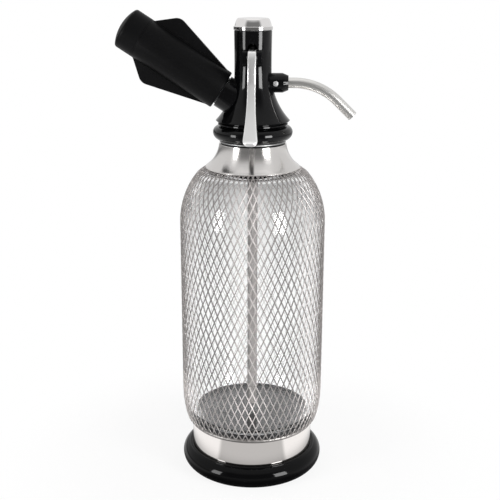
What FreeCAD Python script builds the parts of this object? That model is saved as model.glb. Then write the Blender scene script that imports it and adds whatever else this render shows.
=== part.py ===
import FreeCAD, Part
import math
import os
import types

import Sketcher
from FreeCAD import Placement, Rotation, Vector

# A one-litre soda siphon. Millimetres; Z is up through the bottle's axis, and the origin is on that axis in
# the plane that the base stands on. The lever faces -Y, the spout points to +X and the charger holder to -X.
# "Out" along the charger's axis means up and away from the head.

SIZES = {
    # mesh sleeve: the outline of the whole body
    "body_radius": 50.3,
    "heel_top": 60.9,
    "heel_width": 9.2,
    "heel_drop": 30.0,
    "shoulder_base": 184.0,
    "shoulder_big": 53.0,
    "shoulder_small": 17.0,
    "shoulder_crown": 26.0,
    "wire_radius": 0.46,
    "wire_spacing": 0.95,
    "wires_each_way": 64,
    "mesh_period": 10.8,
    # base ring, base cup and steel band
    "ring_radius": 41.6,
    "ring_tube": 9.1,
    "ring_wall": 2.8,
    "ring_foot": 37.6,
    "skirt_radius": 42.6,
    "skirt_wall": 2.4,
    "cup_floor": 35.0,
    "cup_floor_wall": 3.0,
    "cup_rim": 40.6,
    "cup_rim_radius": 44.5,
    "cushion_radius": 30.0,
    "cushion_wall": 2.7,
    "band_radius": 43.4,
    "band_wall": 0.6,
    "band_foot": 17.0,
    "band_top": 34.7,
    "bead_top": 37.7,
    "bead_radius": 45.3,
    # glass bottle
    "glass_inset": 2.5,
    "glass_wall": 3.6,
    "glass_heel_low": 43.0,
    "glass_heel_inset": 3.2,
    "glass_corner": 8.0,
    "glass_crown": 22.0,
    "neck_radius": 14.6,
    "rim_height": 246.5,
    # threaded ring on the neck, cone collar and the bright ring above it
    "thread_radius": 18.95,
    "neck_cement": 0.2,
    "neck_ring_foot": 228.0,
    "neck_ring_top": 245.4,
    "neck_flange": 21.0,
    "collar_seat": 21.7,
    "collar_foot": 222.1,
    "collar_foot_radius": 32.1,
    "collar_top": 238.2,
    "collar_top_radius": 22.85,
    "collar_sweep": 21.3,
    "collar_lip": 0.4,
    "collar_wall": 0.8,
    "trim_radius": 22.5,
    "trim_top": 240.4,
    "trim_inner": 19.4,
    "trim_groove": 21.4,
    "trim_gap": 0.7,
    # head: tower, bell and skirt
    "tower_radius": 12.4,
    "tower_mouth": 12.6,
    "tower_waist": 296.0,
    "tower_top": 312.8,
    "bell_top": 285.5,
    "bell_sweep": 46.2,
    "bell_rim": 25.0,
    "groove_radius": 22.3,
    "lip_radius": 23.6,
    "lip_top": 252.3,
    "lip_foot": 251.2,
    "head_skirt": 21.6,
    "head_foot": 240.9,
    "recess_radius": 19.25,
    "recess_roof": 249.2,
    "head_ring_radius": 27.0,
    "head_ring_height": 246.0,
    "head_ring_upper": 4.0,
    "head_ring_lower": 5.4,
    "gasket_gap": 0.1,
    # bores down the tower
    "cap_bore": 9.2,
    "cap_bore_foot": 306.0,
    "chamber_radius": 8.3,
    "chamber_foot": 292.0,
    "throat_radius": 6.5,
    "throat_foot": 267.5,
    "passage_radius": 2.8,
    "tube_seat": 262.0,
    "tube_socket": 5.3,
    "tube_socket_top": 256.0,
    # lever slot and ears
    "slot_width": 6.6,
    "slot_foot": 292.3,
    "slot_top": 305.0,
    "ear_width": 12.3,
    "ear_reach": 17.2,
    "ear_foot": 290.6,
    "ear_top": 301.0,
    "ear_round": 2.6,
    "pin_radius": 1.25,
    "pin_reach": 14.2,
    "pin_height": 296.0,
    # lever
    "lever_play": 0.05,
    "lever_wall": 2.2,
    "lever_width": 5.5,
    "lever_top": 300.9,
    "lever_top_round": 3.0,
    "lever_hub": 3.1,
    "lever_crook": 289.5,
    "lever_crook_radius": 14.0,
    "lever_flare": 32.0,
    "lever_straight": 42.2,
    "lever_curl_radius": 4.5,
    "lever_curl": 65.0,
    "lever_flank_top": 276.0,
    "lever_flank_radius": 215.0,
    "lever_flank_foot": 245.2,
    "lever_corner": 3.2,
    "nose_height": 299.0,
    "nose_radius": 1.9,
    "fork_width": 3.6,
    "fork_depth": 3.4,
    # top cap and its gasket
    "cap_gasket_wall": 0.5,
    "cap_flange_radius": 13.0,
    "cap_flange_top": 315.4,
    "cap_radius": 12.2,
    "cap_shoulder": 317.4,
    "cap_round": 3.4,
    "cap_crown": 321.2,
    "cap_plug": 9.1,
    "cap_plug_foot": 306.3,
    "cap_hollow": 5.9,
    "cap_hollow_roof": 317.3,
    # valve
    "stem_radius": 2.0,
    "stem_slide": 2.5,
    "stem_neck": 1.5,
    "stem_fit": 0.05,
    "bush_foot": 285.0,
    "washer_foot": 270.2,
    "washer_top": 272.7,
    "washer_radius": 4.6,
    "stem_disc_top": 274.2,
    "stem_shoulder": 293.4,
    "stem_top": 304.6,
    "nut_foot": 301.0,
    "nut_top": 302.6,
    "nut_radius": 5.4,
    "seal_height": 288.0,
    "seal_tube": 0.8,
    "seat_top": 270.0,
    "spring_radius": 4.4,
    "spring_wire": 0.5,
    "spring_turns": 6,
    # spout
    "spout_height": 278.7,
    "spout_radius": 3.5,
    "spout_wall": 0.8,
    "spout_root": 13.0,
    "spout_bend": 41.3,
    "spout_turn": 44.3,
    "spout_end_x": 67.1,
    "spout_end_z": 256.7,
    "boss_root": 5.0,
    "boss_radius": 4.6,
    "boss_end": 18.6,
    "ferrule_radius": 6.5,
    "ferrule_end": 23.7,
    "ferrule_nose": 19.8,
    "ferrule_nose_radius": 4.9,
    "screw_x": 15.4,
    "screw_radius": 1.8,
    # dip tube
    "tube_radius": 3.5,
    "tube_wall": 0.7,
    "tube_foot": 46.0,
    "sleeve_radius": 5.2,
    "sleeve_foot": 228.0,
    # charger port and holder, measured along the charger's axis from the holder's open end
    "port_x": -21.2,
    "port_z": 273.5,
    "port_rise": 32.8,
    "port_gap": 0.9,
    "port_radius": 11.3,
    "port_root": 20.5,
    "nipple_radius": 9.8,
    "nipple_out": 8.5,
    "nipple_shank": 5.95,
    "nipple_in": 9.4,
    "nipple_bore": 4.7,
    "pierce_radius": 3.0,
    "pierce_tip": 1.1,
    "pierce_out": 4.2,
    "pierce_in": 8.6,
    "pierce_bore": 0.5,
    "check_foot": 13.6,
    "check_radius": 2.1,
    "ball_radius": 2.0,
    "gas_bore": 1.1,
    "holder_mouth": 13.5,
    "holder_radius": 14.1,
    "holder_seam": 62.7,
    "holder_crown": 78.7,
    "holder_dome": 28.4,
    "holder_rounding": 2.2,
    "liner_radius": 11.3,
    "liner_mouth": 10.0,
    "liner_bore": 9.6,
    "liner_step": 9.0,
    "liner_shoulder": 65.5,
    "pad_pocket": 9.0,
    "liner_floor": 68.0,
    "liner_end": 70.0,
    "wing_start": 3.3,
    "wing_peak": 48.1,
    "wing_reach": 25.4,
    "wing_end": 62.3,
    "wing_corner": 7.0,
    "wing_wall": 3.2,
}


class Size:
    """A length or an angle: its value, and the text that binds it to the sheet."""

    def __init__(self, value, text):
        self.value = float(value)
        self.text = text

    def _join(self, other, sign, value):
        return Size(value, f"({self.text} {sign} {as_size(other).text})")

    def __add__(self, other):
        return self._join(other, "+", self.value + as_size(other).value)

    def __sub__(self, other):
        return self._join(other, "-", self.value - as_size(other).value)

    def __mul__(self, other):
        return self._join(other, "*", self.value * as_size(other).value)

    def __truediv__(self, other):
        return self._join(other, "/", self.value / as_size(other).value)

    def __neg__(self):
        return Size(-self.value, f"(0 - {self.text})")

    __radd__ = __add__
    __rmul__ = __mul__

    def __rsub__(self, other):
        return as_size(other) - self


def as_size(number):
    """A plain number as a size."""
    return number if isinstance(number, Size) else Size(number, repr(float(number)))


def root(size):
    """The square root of a size."""
    return Size(math.sqrt(size.value), f"sqrt({size.text})")


def sine(angle):
    """The sine of an angle in degrees."""
    return Size(math.sin(math.radians(angle.value)), f"sin({angle.text} * 1 deg)")


def cosine(angle):
    """The cosine of an angle in degrees."""
    return Size(math.cos(math.radians(angle.value)), f"cos({angle.text} * 1 deg)")


doc = FreeCAD.newDocument("soda_siphon")


def make_sheet():
    """Write the driving dimensions to the sheet and return them as sizes by name."""
    sheet = doc.addObject("Spreadsheet::Sheet", "dims")
    for row, (name, value) in enumerate(SIZES.items(), start=1):
        sheet.set(f"A{row}", name)
        sheet.set(f"B{row}", str(value))
        sheet.setAlias(f"B{row}", name)
    doc.recompute()
    return types.SimpleNamespace(**{name: Size(value, f"dims.{name}") for name, value in SIZES.items()})


d = make_sheet()
parts = {}


# ---------------------------------------------------------------- drawing helpers


def corner(x, y):
    """A corner that a straight edge arrives at."""
    return types.SimpleNamespace(x=as_size(x), y=as_size(y), centre=None)


def bend(x, y, centre, left):
    """A corner that an arc arrives at, turning left (anticlockwise) or right about its centre."""
    return types.SimpleNamespace(
        x=as_size(x), y=as_size(y), centre=(as_size(centre[0]), as_size(centre[1])), left=left
    )


def flat(point):
    """A sketch point from two sizes."""
    return Vector(point[0].value, point[1].value, 0)


def hold(sketch, edge, point, across, up):
    """Bind a point's two coordinates to the sheet; a coordinate of zero lies on the sketch's axis."""
    for kind, axis, size in (("DistanceX", -2, across), ("DistanceY", -1, up)):
        if size is None:
            continue
        if size.text == "0.0":
            sketch.addConstraint(Sketcher.Constraint("PointOnObject", edge, point, axis))
            continue
        index = sketch.addConstraint(Sketcher.Constraint(kind, edge, point, size.value))
        sketch.setExpression(f"Constraints[{index}]", size.text)


def draw(sketch, corners):
    """Draw a closed outline through the corners, and bind each corner and each arc's centre."""
    first = sketch.GeometryCount
    ends = []
    for before, here in zip([corners[-1]] + corners[:-1], corners):
        start = flat((before.x, before.y))
        end = flat((here.x, here.y))
        if here.centre is None:
            sketch.addGeometry(Part.LineSegment(start, end))
            ends.append((1, 2))
            continue
        middle = flat(here.centre)
        tail, tip = (start, end) if here.left else (end, start)
        circle = Part.Circle(middle, Vector(0, 0, 1), (tail - middle).Length)
        sketch.addGeometry(Part.ArcOfCircle(circle, circle.parameter(tail), circle.parameter(tip)))
        ends.append((1, 2) if here.left else (2, 1))
    count = len(corners)
    for index, here in enumerate(corners):
        after = (index + 1) % count
        edge = first + index
        sketch.addConstraint(
            Sketcher.Constraint("Coincident", edge, ends[index][1], first + after, ends[after][0])
        )
        hold(sketch, edge, ends[index][1], here.x, here.y)
        if here.centre is not None:
            before = corners[index - 1]
            steep = abs(here.x.value - before.x.value) < abs(here.y.value - before.y.value)
            across, up = here.centre
            hold(sketch, edge, 3, across if steep else None, None if steep else up)


def new_body(label, placement=None):
    """An empty body whose label names its node."""
    body = doc.addObject("PartDesign::Body", label)
    body.Label = label
    if placement is not None:
        body.Placement = placement
    parts[label] = body
    return body


def origin_plane(body, role):
    """One of the body's own origin planes."""
    return next(plane for plane in body.Origin.OriginFeatures if plane.Role == role)


def new_sketch(body, role, name):
    """A sketch on one of the body's own origin planes."""
    sketch = body.newObject("Sketcher::SketchObject", name)
    sketch.AttachmentSupport = (origin_plane(body, role), [""])
    sketch.MapMode = "FlatFace"
    return sketch


def turn(body, kind, name, outline, axis="V_Axis"):
    """Add or cut what an outline in the XZ plane sweeps round its vertical or its horizontal axis."""
    sketch = new_sketch(body, "XZ_Plane", f"{name}_outline")
    draw(sketch, outline)
    feature = body.newObject(f"PartDesign::{kind}", name)
    feature.Profile = sketch
    feature.ReferenceAxis = (sketch, [axis])
    feature.Angle = 360
    sketch.Visibility = False
    return feature


def turned(label, outline, placement=None):
    """A body turned from one outline."""
    body = new_body(label, placement)
    turn(body, "Revolution", f"{label}_turning", outline)
    return body


def slab(body, kind, name, role, outline, depth):
    """Pad or pocket an outline to both sides of its plane."""
    sketch = new_sketch(body, role, f"{name}_outline")
    draw(sketch, outline)
    feature = body.newObject(f"PartDesign::{kind}", name)
    feature.Profile = sketch
    feature.Midplane = True
    feature.setExpression("Length", as_size(depth).text)
    sketch.Visibility = False
    return feature


def rod(body, kind, name, radius, length, place):
    """Add or cut a cylinder that runs along the Z axis of a place in the body."""
    feature = body.newObject(f"PartDesign::{kind}Cylinder", name)
    feature.AttachmentSupport = [(origin_plane(body, "XY_Plane"), "")]
    feature.MapMode = "FlatFace"
    feature.AttachmentOffset = place
    feature.setExpression("Radius", as_size(radius).text)
    feature.setExpression("Height", as_size(length).text)
    return feature


def place_at(x, y, z, axis=Vector(0, 0, 1)):
    """A placement whose Z axis points along the given axis."""
    return Placement(Vector(x, y, z), Rotation(Vector(0, 0, 1), axis))


def box_outline(low_x, low_y, high_x, high_y):
    """A rectangle's corners."""
    return [corner(low_x, low_y), corner(high_x, low_y), corner(high_x, high_y), corner(low_x, high_y)]


def circle_at(radius, centre, level):
    """Half the width of a circle at a level, given the circle's radius and its centre's level."""
    return root(radius * radius - (level - centre) * (level - centre))


def direction(start, end):
    """The unit direction from one point to another."""
    across = end[0] - start[0]
    up = end[1] - start[1]
    length = root(across * across + up * up)
    return (across / length, up / length)


def rounded(start, peak, end, radius):
    """Where a tangent arc that rounds the corner at the peak begins and ends, and its centre."""
    rise = direction(peak, start)
    fall = direction(peak, end)
    facing = rise[0] * fall[0] + rise[1] * fall[1]
    reach = radius * root((1 + facing) / (1 - facing))
    before = (peak[0] + rise[0] * reach, peak[1] + rise[1] * reach)
    after = (peak[0] + fall[0] * reach, peak[1] + fall[1] * reach)
    depth = radius / root((1 - facing) / 2)
    split = root((1 + facing) / 2) * 2
    middle = (peak[0] + (rise[0] + fall[0]) / split * depth, peak[1] + (rise[1] + fall[1]) / split * depth)
    return before, after, middle


# The charger's axis: its own Z points out, and its X lies in the siphon's XZ plane, pointing up.
charger_frame = Placement(
    Vector(d.port_x.value, 0, d.port_z.value),
    Rotation(Vector(0, 1, 0), d.port_rise.value - 90),
)


def along_charger(distance):
    """A place on the charger's axis, this far out from the holder's open end."""
    return charger_frame * Placement(Vector(0, 0, distance), Rotation())


# ---------------------------------------------------------------- base


def make_base_ring():
    """Moulded ring with a round outside, hollow behind, open towards the axis; it stands on its foot."""
    outer = d.ring_tube
    inner = d.ring_tube - d.ring_wall
    middle = (d.ring_radius, d.ring_tube)
    land = d.band_radius + 1.0
    land_top = d.ring_tube + circle_at(outer, d.ring_radius, land)
    seat = d.band_foot
    lip = d.skirt_radius + 0.1
    lip_foot = d.ring_tube + circle_at(inner, d.ring_radius, lip)
    turned("base_ring", [
        corner(d.ring_foot, 0),
        corner(d.ring_radius, 0),
        bend(d.ring_radius + outer, d.ring_tube, middle, left=True),
        bend(land, land_top, middle, left=True),
        corner(land - 0.5, seat),
        corner(lip, seat),
        corner(lip, lip_foot),
        bend(d.ring_radius + inner, d.ring_tube, middle, left=False),
        bend(d.ring_radius, d.ring_wall, middle, left=False),
        corner(d.ring_foot, d.ring_wall),
    ])


def make_base_cup():
    """Moulded cup inside the ring and the band: a skirt, a floor and a dished rim that holds the bottle."""
    inner = d.skirt_radius - d.skirt_wall
    heel = glass_heel(-0.25)
    turned("base_cup", [
        corner(0, d.cup_floor - d.cup_floor_wall),
        corner(inner, d.cup_floor - d.cup_floor_wall),
        corner(inner, d.ring_wall + 0.1),
        corner(d.skirt_radius, d.ring_wall + 0.1),
        corner(d.skirt_radius, d.bead_top + 0.05),
        corner(d.cup_rim_radius - 0.4, d.bead_top + 0.05),
        corner(d.cup_rim_radius, d.bead_top + 0.5),
        corner(d.cup_rim_radius, d.cup_rim),
        corner(heel.corner_r + circle_at(heel.radius, heel.corner_z, d.cup_rim), d.cup_rim),
        bend(heel.corner_r, heel.bottom, (heel.corner_r, heel.corner_z), left=False),
        corner(d.cushion_radius + 1.0, heel.bottom),
        corner(d.cushion_radius + 1.0, d.cup_floor),
        corner(0, d.cup_floor),
    ])


def make_bottle_cushion():
    """Rubber disc on the cup's floor, under the bottle."""
    turned("bottle_cushion", box_outline(0, d.cup_floor, d.cushion_radius, d.cup_floor + d.cushion_wall))


def make_base_band():
    """Polished steel band round the cup, with a rolled bead on top that covers the ends of the mesh."""
    inner = d.band_radius - d.band_wall
    bead = (d.bead_top - d.band_top) / 2
    middle = (d.bead_radius - bead, d.band_top + bead)
    turned("base_band", [
        corner(inner, d.band_foot),
        corner(d.band_radius, d.band_foot),
        corner(d.band_radius, d.band_top - 0.3),
        corner(middle[0], d.band_top),
        bend(d.bead_radius, middle[1], middle, left=True),
        bend(middle[0], d.bead_top, middle, left=True),
        corner(inner + 0.4, d.bead_top - 0.9),
        corner(inner, d.band_top - 0.8),
    ])


# ---------------------------------------------------------------- bottle


def glass_heel(inset):
    """The bottle's lower corner, with its outside taken in by an inset: a slow taper, then a round corner."""
    radius = d.body_radius - d.glass_inset
    drop = d.heel_top - d.glass_heel_low
    sweep = (drop * drop + d.glass_heel_inset * d.glass_heel_inset) / (2 * d.glass_heel_inset)
    lean = drop / sweep
    upright = (sweep - d.glass_heel_inset) / sweep
    corner_r = radius - d.glass_heel_inset - d.glass_corner * upright
    corner_z = d.glass_heel_low + d.glass_corner * lean
    rounding = d.glass_corner - inset
    return types.SimpleNamespace(
        side=radius - inset,
        sweep_centre=(radius - sweep, d.heel_top),
        low_r=corner_r + rounding * upright,
        low_z=corner_z - rounding * lean,
        corner_r=corner_r,
        corner_z=corner_z,
        radius=rounding,
        bottom=corner_z - rounding,
    )


def shoulder_curve(inset):
    """The shoulder's two arcs, taken in by an inset: a long one up the side and a short one to the crown."""
    small_z = d.shoulder_base + shoulder_rise() - d.shoulder_small
    big_r = d.body_radius - d.shoulder_big
    between = d.shoulder_big - d.shoulder_small
    across = (d.shoulder_crown - big_r) / between
    up = (small_z - d.shoulder_base) / between
    return types.SimpleNamespace(
        side=d.body_radius - inset,
        big=(big_r, d.shoulder_base),
        small=(d.shoulder_crown, small_z),
        join_r=d.shoulder_crown + (d.shoulder_small - inset) * across,
        join_z=small_z + (d.shoulder_small - inset) * up,
        crown_z=small_z + d.shoulder_small - inset,
    )


def shoulder_rise():
    """How high the crown stands above the shoulder's base, where the two arcs meet smoothly."""
    across = d.shoulder_crown - (d.body_radius - d.shoulder_big)
    between = d.shoulder_big - d.shoulder_small
    return root(between * between - across * across) + d.shoulder_small


def make_glass_bottle():
    """Thick blown-glass bottle: tapered heel, straight side, round shoulder and a plain neck."""
    outer_heel = glass_heel(0)
    inner_heel = glass_heel(d.glass_wall)
    outer = shoulder_curve(d.glass_inset)
    inner = shoulder_curve(d.glass_inset + d.glass_wall)
    fillet = d.glass_crown - d.neck_radius
    fillet_z = outer.crown_z + fillet
    fillet_centre = (d.glass_crown, fillet_z)
    bore = d.neck_radius - d.glass_wall
    turned("glass_bottle", [
        corner(0, outer_heel.bottom),
        corner(outer_heel.corner_r, outer_heel.bottom),
        bend(outer_heel.low_r, outer_heel.low_z, (outer_heel.corner_r, outer_heel.corner_z), left=True),
        bend(outer_heel.side, d.heel_top, outer_heel.sweep_centre, left=True),
        corner(outer.side, d.shoulder_base),
        bend(outer.join_r, outer.join_z, outer.big, left=True),
        bend(d.shoulder_crown, outer.crown_z, outer.small, left=True),
        corner(d.glass_crown, outer.crown_z),
        bend(d.neck_radius, fillet_z, fillet_centre, left=False),
        corner(d.neck_radius, d.rim_height),
        corner(bore, d.rim_height),
        corner(bore, fillet_z),
        bend(d.glass_crown, inner.crown_z, fillet_centre, left=True),
        corner(d.shoulder_crown, inner.crown_z),
        bend(inner.join_r, inner.join_z, inner.small, left=False),
        bend(inner.side, d.shoulder_base, inner.big, left=False),
        corner(inner_heel.side, d.heel_top),
        bend(inner_heel.low_r, inner_heel.low_z, inner_heel.sweep_centre, left=False),
        bend(inner_heel.corner_r, inner_heel.bottom, (inner_heel.corner_r, inner_heel.corner_z), left=False),
        corner(0, inner_heel.bottom),
    ])


def make_neck_ring():
    """Threaded ring cemented on the bottle's neck: one flange at its foot, one that carries the collar."""
    inner = d.neck_radius + d.neck_cement
    seat = d.collar_top - d.collar_wall - 0.1
    turned("neck_ring", [
        corner(inner, d.neck_ring_foot),
        corner(d.neck_flange, d.neck_ring_foot),
        corner(d.neck_flange, d.neck_ring_foot + 2.0),
        corner(d.thread_radius, d.neck_ring_foot + 4.0),
        corner(d.thread_radius, seat - 2.6),
        corner(d.collar_seat, seat - 1.4),
        corner(d.collar_seat, seat),
        corner(d.thread_radius, seat),
        corner(d.thread_radius, d.neck_ring_top - 0.6),
        corner(d.thread_radius - 0.6, d.neck_ring_top),
        corner(inner, d.neck_ring_top),
    ])


def make_collar():
    """Spun steel cone between the head and the mesh, hollow-curved; its foot is cut level over the wires."""
    shoulder = d.collar_foot + d.collar_lip
    drop = d.collar_top - shoulder
    spread = d.collar_foot_radius - d.collar_top_radius
    chord = root(drop * drop + spread * spread)
    reach = circle_at(d.collar_sweep, 0, chord / 2)
    middle = (
        (d.collar_top_radius + d.collar_foot_radius) / 2 + reach * drop / chord,
        (d.collar_top + shoulder) / 2 + reach * spread / chord,
    )
    inner_sweep = d.collar_sweep + d.collar_wall
    inner_top = d.collar_top - d.collar_wall
    turned("collar", [
        corner(d.trim_inner, d.collar_top),
        corner(d.trim_inner, inner_top),
        corner(middle[0] - circle_at(inner_sweep, middle[1], inner_top), inner_top),
        bend(middle[0] - circle_at(inner_sweep, middle[1], d.collar_foot), d.collar_foot, middle, left=True),
        corner(d.collar_foot_radius, d.collar_foot),
        corner(d.collar_foot_radius, shoulder),
        bend(d.collar_top_radius, d.collar_top, middle, left=False),
    ])


def make_neck_trim():
    """Bright ring on the collar's top, under the head: a round-edged plate over a narrower foot."""
    under = d.collar_top + d.trim_gap
    half = (d.trim_top - under) / 2
    middle = (d.trim_radius - half, under + half)
    turned("neck_trim", [
        corner(d.trim_inner, d.collar_top),
        corner(d.trim_groove, d.collar_top),
        corner(d.trim_groove, under),
        corner(middle[0], under),
        bend(d.trim_radius, middle[1], middle, left=True),
        bend(middle[0], d.trim_top, middle, left=True),
        corner(d.trim_inner, d.trim_top),
    ])


# ---------------------------------------------------------------- mesh sleeve


def sleeve_levels():
    """Radius and height of the sleeve's outside at the wires' kinks, from the band's bead to the collar."""
    heel_steps = 2
    side_steps = 4
    big_arc_steps = 3
    small_arc_steps = 2
    body = d.body_radius.value
    heel_width = d.heel_width.value
    heel_drop = d.heel_drop.value
    heel_top = d.heel_top.value
    start = math.asin((heel_top - d.bead_top.value + 0.4) / heel_drop)
    levels = []
    for step in range(heel_steps):
        angle = start * (1 - step / heel_steps)
        levels.append((body - heel_width * (1 - math.cos(angle)), heel_top - heel_drop * math.sin(angle)))
    for step in range(side_steps):
        height = heel_top + (d.shoulder_base.value - heel_top) * step / side_steps
        levels.append((body, height))
    curve = shoulder_curve(0)
    big = (curve.big[0].value, curve.big[1].value)
    small = (curve.small[0].value, curve.small[1].value)
    lean = math.atan2(curve.join_z.value - small[1], curve.join_r.value - small[0])
    for step in range(big_arc_steps):
        angle = lean * step / big_arc_steps
        levels.append((big[0] + d.shoulder_big.value * math.cos(angle),
                       big[1] + d.shoulder_big.value * math.sin(angle)))
    for step in range(small_arc_steps + 1):
        angle = lean + (math.pi / 2 - lean) * step / small_arc_steps
        levels.append((small[0] + d.shoulder_small.value * math.cos(angle),
                       small[1] + d.shoulder_small.value * math.sin(angle)))
    return levels


def wire_path(inset, hand):
    """Points of one wire: it climbs the sleeve and goes round by one mesh for each mesh period of its way."""
    mesh_angle = 2 * math.pi / d.wires_each_way.value
    angle = 0.0
    points = []
    levels = sleeve_levels()
    for (before_r, before_z), (radius, height) in zip([levels[0]] + levels, levels):
        way = math.hypot(radius - before_r, height - before_z)
        angle += hand * mesh_angle * way / d.mesh_period.value
        reach = radius - inset
        points.append(Vector(reach * math.cos(angle), reach * math.sin(angle), height))
    return points


def swept_wire(name, points, radius, sides):
    """A wire of polygonal section along straight runs, mitred where they meet."""
    path = doc.addObject("Part::Polygon", f"{name}_path")
    path.Nodes = points
    section = doc.addObject("Part::RegularPolygon", f"{name}_section")
    section.Polygon = sides
    section.Circumradius = radius
    section.Placement = place_at(*points[0], axis=points[1] - points[0])
    sweep = doc.addObject("Part::Sweep", name)
    sweep.Sections = [section]
    sweep.Spine = (path, [f"Edge{number}" for number in range(1, len(points))])
    sweep.Solid = True
    sweep.Transition = "Right corner"
    for piece in (path, section, sweep):
        piece.Visibility = False
    doc.recompute()
    return sweep


def make_mesh_sleeve():
    """Sleeve of steel wires, as many each way round, crossing in diamonds; one way lies over the other."""
    inset = d.wire_radius.value
    over = swept_wire("mesh_wire_over", wire_path(inset, 1), d.wire_radius.value, 3)
    under = swept_wire("mesh_wire_under", wire_path(inset + d.wire_spacing.value, -1), d.wire_radius.value, 3)
    wires = []
    count = int(d.wires_each_way.value)
    for number in range(count):
        for wire in (over, under):
            copy = wire.Shape.copy()
            copy.rotate(Vector(0, 0, 0), Vector(0, 0, 1), 360 * number / count)
            wires.append(copy)
    sleeve = doc.addObject("Part::Feature", "mesh_sleeve")
    sleeve.Label = "mesh_sleeve"
    sleeve.Shape = Part.makeCompound(wires)
    sleeve.Placement = Placement()
    parts["mesh_sleeve"] = sleeve


# ---------------------------------------------------------------- head


def make_head_gasket():
    """Rubber ring between the bottle's rim and the roof of the head's recess."""
    turned("head_gasket", box_outline(
        d.neck_radius - d.glass_wall + 0.5, d.rim_height + d.gasket_gap,
        d.thread_radius - 0.5, d.recess_roof - d.gasket_gap,
    ))


def make_head_body():
    """Moulded head: tower, bell and threaded skirt, with the charger port, spout boss and lever ears."""
    body = new_body("head_body")
    sweep_centre = (d.tower_radius + d.bell_sweep, d.bell_top)
    bell_foot = d.bell_top - circle_at(d.bell_sweep, sweep_centre[0], d.bell_rim)
    turn(body, "Revolution", "head_turning", [
        corner(0, d.recess_roof),
        corner(d.recess_radius, d.recess_roof),
        corner(d.recess_radius, d.head_foot),
        corner(d.head_skirt, d.head_foot),
        corner(d.head_skirt, d.lip_foot - 1.0),
        corner(d.lip_radius, d.lip_foot),
        corner(d.lip_radius, d.lip_top - 0.3),
        corner(d.groove_radius, d.lip_top + 0.3),
        corner(d.groove_radius, bell_foot - 0.7),
        corner(d.bell_rim - 0.6, bell_foot - 0.6),
        corner(d.bell_rim, bell_foot),
        bend(d.tower_radius, d.bell_top, sweep_centre, left=False),
        corner(d.tower_radius, d.tower_waist),
        corner(d.tower_mouth, d.tower_top),
        corner(0, d.tower_top),
    ])
    rod(body, "Additive", "port_boss", d.port_radius, d.port_root - d.port_gap,
        along_charger(-d.port_root.value))
    rod(body, "Additive", "spout_boss", d.boss_radius, d.boss_end - d.boss_root,
        place_at(d.boss_root.value, 0, d.spout_height.value, Vector(1, 0, 0)))
    ear_nose = d.ear_reach - d.ear_round
    ear_root = d.tower_radius - 3.4
    slab(body, "Pad", "ears", "YZ_Plane", [
        corner(-ear_root, d.ear_foot),
        corner(-ear_root, d.ear_top),
        corner(-ear_nose, d.ear_top),
        bend(-d.ear_reach, d.ear_top - d.ear_round, (-ear_nose, d.ear_top - d.ear_round), left=True),
        corner(-d.ear_reach, d.ear_foot + d.ear_round),
        bend(-ear_nose, d.ear_foot, (-ear_nose, d.ear_foot + d.ear_round), left=True),
    ], d.ear_width)
    turn(body, "Groove", "tower_bore", [
        corner(0, d.tower_top + 1.0),
        corner(0, d.tube_seat),
        corner(d.passage_radius, d.tube_seat),
        corner(d.passage_radius, d.throat_foot),
        corner(d.throat_radius, d.throat_foot),
        corner(d.throat_radius, d.chamber_foot),
        corner(d.chamber_radius, d.chamber_foot),
        corner(d.chamber_radius, d.cap_bore_foot),
        corner(d.cap_bore, d.cap_bore_foot),
        corner(d.cap_bore, d.tower_top + 1.0),
    ])
    turn(body, "Groove", "tube_bore", [
        corner(0, d.tube_seat),
        corner(0, d.recess_roof - 1.0),
        corner(d.tube_socket, d.recess_roof - 1.0),
        corner(d.tube_socket, d.tube_socket_top),
        corner(d.tube_radius + 0.05, d.tube_socket_top),
        corner(d.tube_radius + 0.05, d.tube_seat),
    ])
    cut_lever_slot(body)
    cut_spout_bores(body)
    cut_port_bores(body)
    return body


def cut_lever_slot(body):
    """Arched slot through the front of the tower and between the ears, and the pin's cross hole."""
    half = d.slot_width / 2
    arch = d.slot_top - half
    sketch = new_sketch(body, "XZ_Plane", "lever_slot_outline")
    draw(sketch, [
        corner(-half, d.slot_foot),
        corner(half, d.slot_foot),
        corner(half, arch),
        bend(0, d.slot_top, (0, arch), left=True),
        bend(-half, arch, (0, arch), left=True),
    ])
    slot = body.newObject("PartDesign::Pocket", "lever_slot")
    slot.Profile = sketch
    slot.Reversed = True
    slot.setExpression("Length", (d.ear_reach + 2.0).text)
    ear_gap = d.ear_foot - 0.5
    slab(body, "Pocket", "ear_gap", "YZ_Plane", box_outline(
        -d.ear_reach - 1.0, ear_gap, -d.tower_radius, d.ear_top + 0.5,
    ), d.slot_width)
    rod(body, "Subtractive", "pin_hole", d.pin_radius + 0.01, d.ear_width * 2,
        place_at(-d.ear_width.value, -d.pin_reach.value, d.pin_height.value, Vector(1, 0, 0)))


def cut_spout_bores(body):
    """Passage from the throat to the spout, the tube's socket and the screw's hole through the boss."""
    toward_spout = Vector(1, 0, 0)
    height = d.spout_height.value
    rod(body, "Subtractive", "spout_passage", d.spout_radius - d.spout_wall, d.spout_root + 1.0,
        place_at(0, 0, height, toward_spout))
    rod(body, "Subtractive", "spout_socket", d.spout_radius + 0.05, d.boss_end,
        place_at(d.spout_root.value, 0, height, toward_spout))
    rod(body, "Subtractive", "screw_tap", d.screw_radius + 0.02, d.ferrule_radius,
        place_at(d.screw_x.value, -d.ferrule_radius.value, height, Vector(0, 1, 0)))


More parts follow.
